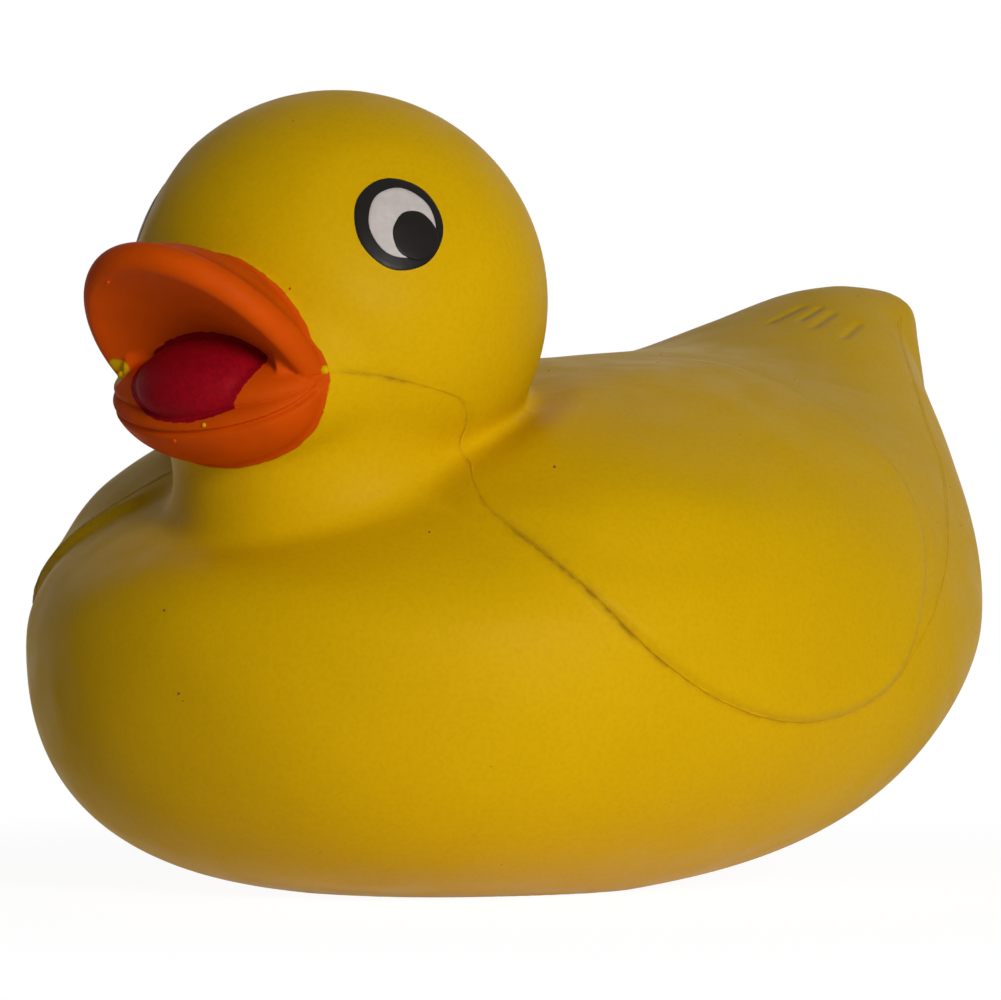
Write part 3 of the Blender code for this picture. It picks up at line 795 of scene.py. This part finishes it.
class Maths:
    """Short forms for the arithmetic of one node tree."""

    def __init__(self, tree):
        self.tree = tree
        self.place = add_node(tree, "ShaderNodeTexCoord").outputs["Object"]

    def do(self, operation, a, b=0.0, clamp=False):
        return arithmetic(self.tree, operation, a, b, clamp)

    def vectors(self, operation, a, b):
        return add_node(self.tree, "ShaderNodeVectorMath", {"operation": operation}, _0=a, _1=b).outputs

    def ramp(self, value, low, high, start=0.0, end=1.0):
        """start where the value is under low, end where it is over high, and a soft step between."""
        settings = {"interpolation_type": "SMOOTHSTEP"}
        return add_node(
            self.tree, "ShaderNodeMapRange", settings, _0=value, _1=low, _2=high, _3=start, _4=end,
        ).outputs[0]

    def hump(self, value, width):
        """1 where the value is 0, falling to nothing over the width."""
        square = self.do("POWER", self.do("DIVIDE", self.do("ABSOLUTE", value), width), 2.0)
        return self.do("EXPONENT", self.do("MULTIPLY", square, -1.0))

    def noise(self, spacing_mm, detail=2.0, roughness=0.5):
        """Even noise from 0 to 1 with lumps about so many millimetres apart."""
        return add_node(
            self.tree, "ShaderNodeTexNoise", None, Vector=self.place, Scale=1 / (spacing_mm * MM),
            Detail=detail, Roughness=roughness,
        ).outputs["Fac"]

    def blend(self, share, below, above):
        """The first colour where the share is 0, the second where it is 1."""
        settings = {"data_type": "RGBA"}
        return add_node(self.tree, "ShaderNodeMix", settings, _0=share, _6=below, _7=above).outputs[2]

    def read(self, name):
        """A value stored on the points of the mesh."""
        return add_node(self.tree, "ShaderNodeAttribute", {"attribute_name": name}).outputs["Fac"]

    def away_from(self, place_mm):
        """Distance from a place, in millimetres."""
        away = self.vectors("DISTANCE", self.place, tuple(value * MM for value in place_mm))["Value"]
        return self.do("MULTIPLY", away, 1 / MM)

    def emboss(self, shader, height):
        """Raises the surface that the shader shows by a height in millimetres."""
        bump = add_node(self.tree, "ShaderNodeBump", None, Strength=1.0, Distance=MM, Height=height)
        self.tree.links.new(bump.outputs["Normal"], shader.inputs["Normal"])

    def stroke(self, start, end, half_width):
        """1 along a short straight stroke, falling to nothing past its width and its ends."""
        first, last = Vector(start) * MM, Vector(end) * MM
        along = (last - first).normalized()
        middle = (first + last) / 2
        outward = middle - Vector((0.0, middle.y, STROKE_AXIS))
        across = along.cross(outward).normalized()
        off = self.vectors("SUBTRACT", self.place, middle)["Vector"]
        lengthways, sideways = [self.vectors("DOT_PRODUCT", off, way)["Value"] for way in (along, across)]
        ends = [(last - first).length / 2 * share for share in STROKE_FADE]
        inside = self.ramp(self.do("ABSOLUTE", lengthways), *ends, 1.0, 0.0)
        return self.do("MULTIPLY", inside, self.hump(sideways, half_width * MM))


def painted_foam(finish):
    """Self-skinned polyurethane foam with brushed acrylic on the bill and tongue. The eye gets a
    satin yellow skin with a fine orange peel, a grey sheen at grazing angles, and paint that ends
    in a slightly ragged line. Cell grain is drawn at 0.35 mm, coarser than the real 0.1 mm."""
    made, tree, shader = blank_material("brushed_acrylic_on_polyurethane_foam")
    m = Maths(tree)

    # Foam: broad cloudy tone and a fine dark grain
    cloud = m.ramp(m.noise(CLOUD_SPACING), 0.3, 0.7)
    foam = m.blend(cloud, shade(finish.foam, CLOUD_SHADE), shade(finish.foam))
    grain = m.noise(GRAIN_SPACING, 3.0)
    dark_grain = m.ramp(grain, 0.35, 0.75, 0.0, GRAIN_SHARE)
    foam = m.blend(dark_grain, foam, shade(finish.foam, GRAIN_SHADE))

    # Grime: a dark line in the seam and a stain round it, both broken up
    side, reach, gathered = m.read("seam_side"), m.read("seam_reach"), m.read("seam_grime")
    near_seam = m.ramp(reach, *SEAM_FADE, 1.0, 0.0)
    patchy = m.ramp(m.noise(GRIME_SPACING, 4.0, 0.6), 0.38, 0.62)
    traced = m.do("ADD", LINE_LEAST, m.do("MULTIPLY", gathered, LINE_MORE))
    line = m.do("MULTIPLY", m.hump(m.do("ADD", side, LINE_OFFSET), LINE_WIDTH), traced)
    stain = m.do("MULTIPLY", m.hump(reach, STAIN_WIDTH), m.do("MULTIPLY", gathered, STAIN_SHARE))
    broken = m.do("ADD", GRIME_LEAST, m.do("MULTIPLY", patchy, 1 - GRIME_LEAST))
    grime = m.do("MULTIPLY", m.do("ADD", line, stain), broken)
    grime = m.do("MULTIPLY", grime, near_seam, clamp=True)
    foam = m.blend(grime, foam, shade(finish.grime))

    # Paint: its edge strays with the brush, more below the bill than above it
    stray = m.do("MULTIPLY", m.do("SUBTRACT", m.noise(BILL_STRAY_SPACING, 3.0, 0.55), 0.5), BILL_STRAY)
    on_bill = m.ramp(m.do("ADD", m.read("bill_distance"), stray), *BILL_EDGE, 1.0, 0.0)
    ragged = m.do("ADD", m.away_from(BARE_CORNER), m.do("MULTIPLY", stray, BARE_RAGGED))
    on_bill = m.do("MULTIPLY", on_bill, m.ramp(ragged, *BARE_RADIUS))
    fine = m.do("SUBTRACT", m.noise(TONGUE_STRAY_SPACING, 4.0, 0.6), 0.5)
    strayed = m.do("ADD", m.read("tongue_distance"), m.do("MULTIPLY", fine, TONGUE_STRAY))
    on_tongue = m.ramp(strayed, *TONGUE_EDGE, 1.0, 0.0)
    brushed = m.ramp(m.noise(BRUSH_SPACING, 3.0), 0.3, 0.7)
    orange = m.blend(brushed, shade(finish.orange, BRUSH_SHADE), shade(finish.orange))
    dabs = m.noise(DAB_SPACING, 4.0, 0.6)
    red = m.blend(m.ramp(dabs, 0.35, 0.7), shade(finish.red, DAB_SHADE), shade(finish.red))
    colour = m.blend(on_tongue, m.blend(on_bill, foam, orange), red)
    tree.links.new(colour, shader.inputs["Base Color"])

    # Sheen: the moulded skin is satin, the paint a little flatter
    shader.inputs["Specular IOR Level"].default_value = FOAM_SPECULAR
    satin = m.ramp(m.noise(SATIN_SPACING), 0.3, 0.7, SATIN_LOW, SATIN_HIGH)
    painted = m.do("MAXIMUM", on_bill, on_tongue)
    rough = m.do("ADD", satin, m.do("MULTIPLY", painted, PAINT_ROUGHER))
    rough = m.do("ADD", rough, m.do("MULTIPLY", grime, GRIME_ROUGHER))
    tree.links.new(rough, shader.inputs["Roughness"])

    # Relief in millimetres: orange peel, grain, paint thickness, seam groove and tail strokes
    groove = m.hump(m.do("ADD", side, GROOVE_OFFSET), GROOVE_WIDTH)
    raised = [
        (m.noise(PEEL_SPACING), PEEL_HEIGHT),
        (grain, GRAIN_HEIGHT),
        (painted, PAINT_HEIGHT),
        (m.do("MULTIPLY", on_tongue, dabs), DAB_HEIGHT),
        (m.do("MULTIPLY", groove, near_seam), GROOVE_HEIGHT),
    ]
    raised += [(m.stroke(*stroke), TAIL_STROKE_HEIGHT) for stroke in TAIL_STROKES]
    relief = 0.0
    for share, height in raised:
        relief = m.do("ADD", relief, m.do("MULTIPLY", share, height))
    m.emboss(shader, relief)
    return made


def plain_foam(finish):
    """The same self-skinned foam on the seam's bead and on small drops: satin yellow, browned by
    grime where the hand has rubbed the bead."""
    made, tree, shader = blank_material("self_skinned_polyurethane_foam")
    m = Maths(tree)
    patches = m.noise(BEAD_DIRT_SPACING, 4.0, 0.6)
    dirty = m.ramp(patches, 0.42, 0.62, BEAD_DIRT_LEAST, BEAD_DIRT_MOST)
    from_side_on = m.vectors("MULTIPLY", m.place, (0.0, 1.0, 1.0))["Vector"]
    for y, z, amount, spread in SEAM_GRIME[:DIRTIEST]:
        away = m.vectors("DISTANCE", from_side_on, (0.0, y * MM, z * MM))["Value"]
        gathered = m.do("MULTIPLY", m.hump(away, spread * MM), amount * BEAD_DIRT_GATHERED)
        dirty = m.do("ADD", dirty, gathered, clamp=True)
    tree.links.new(m.blend(dirty, shade(finish.foam), shade(finish.grime)), shader.inputs["Base Color"])
    shader.inputs["Roughness"].default_value = BEAD_ROUGHNESS
    shader.inputs["Specular IOR Level"].default_value = FOAM_SPECULAR
    m.emboss(shader, m.do("MULTIPLY", m.noise(GRAIN_SPACING, 3.0), BEAD_GRAIN_HEIGHT))
    return made


def printed_ink(name, colour, roughness):
    """Pad-printed ink: an even, thin film that is a little shinier than the foam, with faint wear."""
    made, tree, shader = blank_material(name)
    m = Maths(tree)
    worn = m.ramp(m.noise(0.9, 4.0, 0.6), 0.35, 0.75)
    tree.links.new(m.blend(worn, shade(colour, INK_SHADE), shade(colour)), shader.inputs["Base Color"])
    uneven = m.ramp(m.noise(1.6), 0.3, 0.7, roughness - 0.04, roughness + 0.06)
    tree.links.new(uneven, shader.inputs["Roughness"])
    shader.inputs["Specular IOR Level"].default_value = INK_SPECULAR
    m.emboss(shader, m.do("MULTIPLY", m.noise(0.3, 3.0), INK_HEIGHT))
    return made


def paint_drop(finish):
    """Dried drops of the bill's acrylic, glossier than the brushed coat."""
    made, tree, shader = blank_material("dried_acrylic_drop")
    m = Maths(tree)
    mottled = m.blend(m.noise(0.4), shade(finish.orange, 0.9), shade(finish.orange))
    tree.links.new(mottled, shader.inputs["Base Color"])
    shader.inputs["Roughness"].default_value = DROP_ROUGHNESS
    shader.inputs["Specular IOR Level"].default_value = FOAM_SPECULAR
    return made


def dust(finish):
    """Fine dark dust caught in the skin, quite matt."""
    made, tree, shader = blank_material("caught_dust")
    m = Maths(tree)
    mottled = m.blend(m.noise(0.2), shade(finish.grime, 0.35), shade(finish.grime))
    tree.links.new(mottled, shader.inputs["Base Color"])
    shader.inputs["Roughness"].default_value = DUST_ROUGHNESS
    return made


def new_node_tree(name, *inputs):
    """An empty Geometry Nodes tree with named inputs, and its input and output nodes."""
    tree = bpy.data.node_groups.new(name, "GeometryNodeTree")
    tree.interface.new_socket("Geometry", in_out="INPUT", socket_type="NodeSocketGeometry")
    for label, kind in inputs:
        tree.interface.new_socket(label, in_out="INPUT", socket_type=kind)
    tree.interface.new_socket("Geometry", in_out="OUTPUT", socket_type="NodeSocketGeometry")
    return tree, add_node(tree, "NodeGroupInput").outputs, add_node(tree, "NodeGroupOutput").inputs


def end_tree(tree, given, result, made_of):
    """Turns instances into real mesh, gives it the material, and ends the tree."""
    real = add_node(tree, "GeometryNodeRealizeInstances", None, Geometry=made_of).outputs[0]
    coated = add_node(tree, "GeometryNodeSetMaterial", None, Geometry=real, Material=given["Material"])
    tree.links.new(coated.outputs[0], result["Geometry"])
    return tree


def bead_tree():
    """A round bead of slightly uneven thickness along a line."""
    tree, given, result = new_node_tree(
        "bead_along_a_line", ("Radius", "NodeSocketFloat"), ("Unevenness", "NodeSocketFloat"),
        ("Lump spacing", "NodeSocketFloat"), ("Sides", "NodeSocketInt"), ("Material", "NodeSocketMaterial"),
    )
    line = add_node(tree, "GeometryNodeMeshToCurve", None, Mesh=given["Geometry"]).outputs[0]
    pitch = arithmetic(tree, "DIVIDE", 1.0, given["Lump spacing"])
    lumps = add_node(tree, "ShaderNodeTexNoise", None, Scale=pitch, Detail=2.0).outputs["Fac"]
    swing = arithmetic(tree, "MULTIPLY", arithmetic(tree, "SUBTRACT", lumps, 0.5), given["Unevenness"])
    share = arithmetic(tree, "ADD", 1.0, swing)
    ring = add_node(
        tree, "GeometryNodeCurvePrimitiveCircle", None, Resolution=given["Sides"], Radius=given["Radius"],
    ).outputs[0]
    bead = add_node(
        tree, "GeometryNodeCurveToMesh", None, Curve=line, _1=ring, _2=share, _3=True,
    ).outputs[0]
    return end_tree(tree, given, result, bead)


def drops_on(tree, given, points, size):
    """A round drop of this size on each point."""
    drop = add_node(
        tree, "GeometryNodeMeshIcoSphere", None, Radius=1.0, Subdivisions=given["Fineness"],
    ).outputs[0]
    return add_node(
        tree, "GeometryNodeInstanceOnPoints", None, Points=points, Instance=drop, Scale=size,
    ).outputs[0]


def drops_tree():
    """A small round drop at each point, sized by the point's own radius."""
    tree, given, result = new_node_tree(
        "drops_at_points", ("Fineness", "NodeSocketInt"), ("Material", "NodeSocketMaterial"),
    )
    size = add_node(
        tree, "GeometryNodeInputNamedAttribute", {"data_type": "FLOAT"}, Name="radius",
    ).outputs[0]
    return end_tree(tree, given, result, drops_on(tree, given, given["Geometry"], size))


def scattered_tree():
    """Small drops scattered at random over a surface."""
    tree, given, result = new_node_tree(
        "specks_on_a_surface", ("Specks per square metre", "NodeSocketFloat"),
        ("Lowest", "NodeSocketFloat"), ("Smallest", "NodeSocketFloat"), ("Largest", "NodeSocketFloat"),
        ("Seed", "NodeSocketInt"), ("Fineness", "NodeSocketInt"), ("Material", "NodeSocketMaterial"),
    )
    place = add_node(tree, "GeometryNodeInputPosition").outputs[0]
    height = add_node(tree, "ShaderNodeSeparateXYZ", None, Vector=place).outputs["Z"]
    off_table = arithmetic(tree, "GREATER_THAN", height, given["Lowest"])
    spread = add_node(
        tree, "GeometryNodeDistributePointsOnFaces", {"distribute_method": "RANDOM"}, Mesh=given["Geometry"],
        Selection=off_table, Density=given["Specks per square metre"], Seed=given["Seed"],
    ).outputs["Points"]
    size = add_node(
        tree, "FunctionNodeRandomValue", {"data_type": "FLOAT"}, _2=given["Smallest"],
        _3=given["Largest"], Seed=given["Seed"],
    ).outputs[1]
    return end_tree(tree, given, result, drops_on(tree, given, spread, size))


def run_tree(obj, tree, **values):
    """Runs a Geometry Nodes tree on the object, with its inputs set by identifier, and keeps the mesh."""
    modifier = obj.modifiers.new(tree.name, "NODES")
    modifier.node_group = tree
    wanted = {name.replace("_", " "): value for name, value in values.items()}
    for item in tree.interface.items_tree:
        if item.in_out == "INPUT" and item.name in wanted:
            modifier[item.identifier] = wanted.pop(item.name)
    if wanted:
        raise RuntimeError(f"{tree.name} has no input named {', '.join(wanted)}")
    apply_modifiers(obj)
    if not obj.data.polygons:
        raise RuntimeError(f"{obj.name}: {tree.name} made no faces")


def foam_object():
    obj = bpy.data.objects.get("foam_duck")
    if obj is None:
        raise RuntimeError("the foam has not been moulded yet")
    return obj


class DUCK_OT_mould_foam(bpy.types.Operator):
    """Cast the foam duck in one piece, with its bill, tongue and wings"""

    bl_idname = "duck.mould_foam"
    bl_label = "Mould foam"

    def execute(self, context):
        shape = context.scene.duck_shape
        head = ball((shape.head_radius,) * 3, HEAD_CENTRE)
        muzzle = ball(MUZZLE_HALVES, ahead_of_head(MUZZLE_FORWARD, -MOUTH_DROP))
        duck = new_object("foam_duck", mesh_of("foam_duck", body(shape), neck(shape), head, muzzle))
        cast = duck.modifiers.new("Cast", "REMESH")
        cast.mode = "VOXEL"
        cast.voxel_size = shape.grain
        soften = duck.modifiers.new("Soften", "SMOOTH")
        soften.factor = SOFTENING
        soften.iterations = round((CASTING_SOFTNESS / shape.grain) ** 2)
        apply_modifiers(duck)
        press_wings_and_temples(duck.data, shape)
        soften_creases(duck.data, nape_weights(duck.data, shape), NAPE_PASSES)
        hollow = combine(duck, "DIFFERENCE", mouth_hollow(), "mouth_hollow")
        skin = tree_of(duck.data)
        painted = (("lower_bill", lower_bill), ("upper_bill", upper_bill), ("cushion", cushion))
        bills = [combine(duck, "UNION", shell(), name) for name, shell in painted]
        licker = combine(duck, "UNION", tongue(), "tongue")

        mesh = duck.data
        points = read_points(mesh)
        to_bill = np.min([distances(tree, points) for tree in bills], axis=0)
        to_skin = distances(skin, points)
        to_tongue = distances(licker, points)
        to_hollow = distances(hollow, points)
        joint = np.maximum(to_bill, to_skin) * MM / CREASE_REACH
        round_tongue = np.maximum(to_tongue, np.minimum(to_bill, to_hollow)) * MM / TONGUE_CREASE
        soften_creases(mesh, smooth_step(1 - np.minimum(joint, round_tongue)), CREASE_PASSES)
        centre = np.array(ahead_of_head(MOUTH_FORWARD + MOUTH_AHEAD, -MOUTH_DROP))
        inside = np.linalg.norm((points - centre) / (np.array(MOUTH_HALVES) + LINING_REACH), axis=1) < 1
        store(mesh, "bill_distance", np.where(inside, 0.0, np.minimum(to_bill, to_hollow)))
        store(mesh, "tongue_distance", to_tongue)
        fit_to_packed_box(mesh)

        skin = tree_of(mesh)
        measure_seam(mesh, [seam_path(skin, side) for side in (1, -1)])
        finish_piece(duck, painted_foam(context.scene.duck_finish))
        return {"FINISHED"}


class DUCK_OT_run_seam(bpy.types.Operator):
    """Raise the bead that the mould's parting line leaves on each side"""

    bl_idname = "duck.run_seam"
    bl_label = "Run seam"

    def execute(self, context):
        shape, made = context.scene.duck_shape, plain_foam(context.scene.duck_finish)
        skin, tree = tree_of(foam_object().data), bead_tree()
        for side, label in ((1, "left"), (-1, "right")):
            sunk = []
            for place in seam_path(skin, side)[::2]:
                _, normal, _, _ = skin.find_nearest(place)
                sunk.append(Vector(place) - normal * SEAM_SUNK)
            mesh = bpy.data.meshes.new(f"seam_{label}")
            mesh.from_pydata(sunk, [(i, i + 1) for i in range(len(sunk) - 1)], [])
            bead = new_object(mesh.name, mesh)
            run_tree(
                bead, tree, Radius=shape.seam_radius, Unevenness=BEAD_UNEVENNESS,
                Lump_spacing=BEAD_LUMP_SPACING, Sides=BEAD_SIDES, Material=made,
            )
            finish_piece(bead, made)
        return {"FINISHED"}


class DUCK_OT_print_eyes(bpy.types.Operator):
    """Print a ring, a white and a pupil on each temple"""

    bl_idname = "duck.print_eyes"
    bl_label = "Print eyes"

    def execute(self, context):
        shape, finish = context.scene.duck_shape, context.scene.duck_finish
        skin = tree_of(foam_object().data)
        black = printed_ink("pad_printed_black_ink", finish.black, BLACK_ROUGHNESS)
        white = printed_ink("pad_printed_white_ink", finish.white, WHITE_ROUGHNESS)
        discs = (
            ("ring", shape.eye_radius, 1, 0.0, 0.0, black),
            ("white", shape.white_radius, 2, WHITE_BACK, 0.0, white),
            ("pupil", shape.pupil_radius, 3, shape.pupil_back, shape.pupil_down, black),
        )
        for side, label in ((1, "left"), (-1, "right")):
            for name, radius, layer, back, down, ink in discs:
                mesh = printed_disc(skin, shape, side, radius, layer, back, down)
                mesh.name = f"{label}_eye_{name}"
                finish_piece(new_object(mesh.name, mesh), ink)
        return {"FINISHED"}


def printed_disc(skin, shape, side, radius, layer, back, down):
    """A thin film on the skin with a rounded edge, its root just under the skin."""
    outward = eye_direction(side)
    rearward = Vector((side * math.cos(EYE_TURN), math.sin(EYE_TURN), 0.0))
    downward = outward.cross(rearward)
    if downward.z > 0:
        downward.negate()
    facing = (outward * shape.head_radius + rearward * back + downward * down).normalized()
    across = (rearward - facing * rearward.dot(facing)).normalized()
    along = facing.cross(across) * PRINT_TALLER
    top = layer * PRINT_EDGE

    def laid(turn, share, rise):
        wander = PRINT_WANDER * (math.sin(3 * turn + layer) + 0.6 * math.sin(7 * turn + 2 * layer))
        reach = (radius + wander) * share
        off = math.tan(reach / shape.head_radius)
        way = (facing + (across * math.cos(turn) + along * math.sin(turn)) * off).normalized()
        hit = skin.ray_cast(HEAD_CENTRE + way * 2 * shape.head_radius, -way)[0]
        return hit + way * rise

    turns = [math.tau * i / PRINT_SEGMENTS for i in range(PRINT_SEGMENTS)]
    shares = [(i / PRINT_RINGS, top) for i in range(1, PRINT_RINGS)]
    shares += [(1 - PRINT_EDGE / radius * inward, top * height) for inward, height in PRINT_ROUND]
    shares.append((1.0, -PRINT_ROOT))
    rings = [[laid(turn, share, rise) for turn in turns] for share, rise in shares]
    return mesh_of("disc", shell_over_rings(rings, laid(0.0, 0.0, top), laid(0.0, 0.0, -PRINT_ROOT)))


class DUCK_OT_scatter_specks(bpy.types.Operator):
    """Leave drops of paint and foam, and specks of dust, on the skin"""

    bl_idname = "duck.scatter_specks"
    bl_label = "Scatter specks"

    def execute(self, context):
        shape, finish = context.scene.duck_shape, context.scene.duck_finish
        foam = foam_object()
        skin, tree = tree_of(foam.data), drops_tree()
        dirt = dust(finish)
        groups = (
            ("paint_drops", PAINT_DROPS, paint_drop(finish)),
            ("foam_drops", FOAM_DROPS, plain_foam(finish)),
            ("dark_specks", DARK_SPECKS, dirt),
        )
        for name, drops, made in groups:
            mesh = bpy.data.meshes.new(name)
            mesh.from_pydata([skin.find_nearest(Vector(place) * MM)[0] for place, _ in drops], [], [])
            store(mesh, "radius", np.array([radius * MM for _, radius in drops]))
            obj = new_object(name, mesh)
            run_tree(obj, tree, Fineness=DROP_FINENESS, Material=made)
            finish_piece(obj, made)

        area = sum(face.area for face in foam.data.polygons)
        specks = new_object("scattered_specks", foam.data.copy())
        run_tree(
            specks, scattered_tree(), Specks_per_square_metre=shape.speck_count / area,
            Lowest=SPECK_LOWEST, Smallest=SPECK_SMALLEST, Largest=SPECK_LARGEST, Seed=shape.speck_seed,
            Fineness=SPECK_FINENESS, Material=dirt,
        )
        finish_piece(specks, dirt)
        return {"FINISHED"}


def seen_as_background(tree):
    """1 for rays that show the background: from the camera, or by way of gloss or glass."""
    path = add_node(tree, "ShaderNodeLightPath").outputs
    seen = path["Is Camera Ray"]
    for ray in ("Is Glossy Ray", "Is Transmission Ray"):
        seen = arithmetic(tree, "MAXIMUM", seen, path[ray])
    return seen


def floor_material(strength):
    """A white paper sweep: plain white to the camera except for the duck's soft shadow. To other rays it is
    a matt white that also glows warm near the camera's right. That glow is a painted bounce light that
    lights the belly there."""
    made = bpy.data.materials.new("white_paper_sweep")
    made.use_nodes = True
    tree = made.node_tree
    tree.nodes.clear()
    paper = add_node(tree, "ShaderNodeBsdfDiffuse", None, Color=PAPER)
    faint = add_node(tree, "ShaderNodeBsdfDiffuse", None, Color=shade(WHITE, SHADOW_SHARE))
    glow = add_node(tree, "ShaderNodeEmission", None, Color=WHITE, Strength=SHADOW_GLOW)
    near = add_node(tree, "ShaderNodeAddShader", None, _0=faint.outputs[0], _1=glow.outputs[0])
    plain = add_node(tree, "ShaderNodeEmission", None, Color=WHITE, Strength=1.0)
    m = Maths(tree)
    fade = m.ramp(m.away_from((0.0, 0.0, 0.0)), SHADOW_NEAR, SHADOW_FAR)
    seen = add_node(tree, "ShaderNodeMixShader", None, _0=fade, _1=near.outputs[0], _2=plain.outputs[0])
    # Painted bounce light: a warm emission on the paper, fading with distance from one place, added to the
    # paper's own diffuse white so that it lights the belly
    glow_level = m.ramp(m.away_from(GLOW_PLACE), GLOW_NEAR, GLOW_FAR, strength, 0.0)
    thrown = add_node(tree, "ShaderNodeEmission", None, Color=WARM_WHITE, Strength=glow_level)
    paper_with_glow = add_node(tree, "ShaderNodeAddShader", None, _0=paper.outputs[0], _1=thrown.outputs[0])
    mixed = add_node(
        tree, "ShaderNodeMixShader", None, _0=seen_as_background(tree), _1=paper_with_glow.outputs[0],
        _2=seen.outputs[0],
    )
    add_node(tree, "ShaderNodeOutputMaterial", None, Surface=mixed.outputs[0])
    return made


def light_world(strength):
    """White behind the duck and in its gloss, and softer light on its matt surfaces."""
    world = bpy.data.worlds.new("white_room")
    world.use_nodes = True
    tree = world.node_tree
    tree.nodes.clear()
    seen = seen_as_background(tree)
    level = add_node(tree, "ShaderNodeMapRange", None, _0=seen, _3=strength, _4=1.0).outputs[0]
    back = add_node(tree, "ShaderNodeBackground", None, Color=WHITE, Strength=level)
    add_node(tree, "ShaderNodeOutputWorld", None, Surface=back.outputs[0])
    bpy.context.scene.world = world


def add_lamp(name, power, size, place, target):
    lamp = bpy.data.lights.new(name, "AREA")
    lamp.energy = power
    lamp.shape = "DISK"
    lamp.size = size
    obj = new_object(name, lamp)
    obj.location = place
    obj.rotation_euler = (target - place).to_track_quat("-Z", "Y").to_euler()


def from_side(azimuth, elevation):
    """The way towards a camera or lamp at this azimuth and elevation."""
    level = math.cos(elevation)
    return Vector((math.sin(azimuth) * level, -math.cos(azimuth) * level, math.sin(elevation)))


class DUCK_OT_set_stage(bpy.types.Operator):
    """Lay the floor, light the duck and place the camera"""

    bl_idname = "duck.set_stage"
    bl_label = "Set stage"

    def execute(self, context):
        stage = context.scene.duck_stage
        mesh = bpy.data.meshes.new("floor")
        corners = [(x * FLOOR_HALF, y * FLOOR_HALF, 0.0) for x, y in ((-1, -1), (1, -1), (1, 1), (-1, 1))]
        mesh.from_pydata(corners, [], [(0, 1, 2, 3)])
        floor = new_object("floor", mesh)
        mesh.materials.append(floor_material(stage.sweep))
        light_world(stage.room)

        middle = Vector((0.0, 0.0, AIM_HEIGHT))
        key_way = from_side(stage.azimuth + KEY_TURN, KEY_LIFT)
        add_lamp("key", stage.key, KEY_SIZE, middle + key_way * KEY_AWAY, middle)
        fill_way = from_side(stage.azimuth + FILL_TURN, FILL_LIFT)
        add_lamp("fill", stage.fill, FILL_SIZE, middle + fill_way * FILL_AWAY, middle)

        back = from_side(stage.azimuth, stage.elevation)
        right = Vector((math.cos(stage.azimuth), math.sin(stage.azimuth), 0.0))
        up = back.cross(right)
        pixel = stage.distance * SENSOR / stage.lens / PIXELS
        lens = bpy.data.cameras.new("camera")
        lens.lens = stage.lens
        lens.sensor_width = SENSOR
        lens.clip_start = 10 * MM
        lens.clip_end = 10.0
        camera = new_object("camera", lens)
        shift = (right * HEAD_LEFT - up * HEAD_UP) * pixel
        camera.location = HEAD_CENTRE + shift + back * stage.distance
        camera.rotation_euler = back.to_track_quat("Z", "Y").to_euler()
        context.scene.camera = camera
        context.scene.view_settings.view_transform = "Standard"
        return {"FINISHED"}


class DUCK_PT_tools(bpy.types.Panel):
    """Everything that makes the duck, in order"""

    bl_label = "Duck stress ball"
    bl_idname = "DUCK_PT_tools"
    bl_space_type = "VIEW_3D"
    bl_region_type = "UI"
    bl_category = "Duck"

    def draw(self, context):
        for operator in OPERATORS:
            self.layout.operator(operator.bl_idname)
        for group in GROUPS:
            settings = getattr(context.scene, group)
            box = self.layout.box()
            for name in settings.bl_rna.properties.keys():
                if name not in ("rna_type", "name"):
                    box.prop(settings, name)


GROUPS = {"duck_shape": DuckShape, "duck_finish": DuckFinish, "duck_stage": DuckStage}
OPERATORS = (
    DUCK_OT_mould_foam, DUCK_OT_run_seam, DUCK_OT_print_eyes, DUCK_OT_scatter_specks, DUCK_OT_set_stage,
)


def register():
    for made in (*GROUPS.values(), *OPERATORS, DUCK_PT_tools):
        bpy.utils.register_class(made)
    for name, group in GROUPS.items():
        setattr(bpy.types.Scene, name, PointerProperty(type=group))


def unregister():
    for name in GROUPS:
        delattr(bpy.types.Scene, name)
    for made in (DUCK_PT_tools, *reversed(OPERATORS), *reversed(list(GROUPS.values()))):
        bpy.utils.unregister_class(made)


def main():
    register()
    bpy.ops.duck.mould_foam()
    bpy.ops.duck.run_seam()
    bpy.ops.duck.print_eyes()
    bpy.ops.duck.scatter_specks()
    bpy.ops.duck.set_stage()


if __name__ == "__main__":
    main()
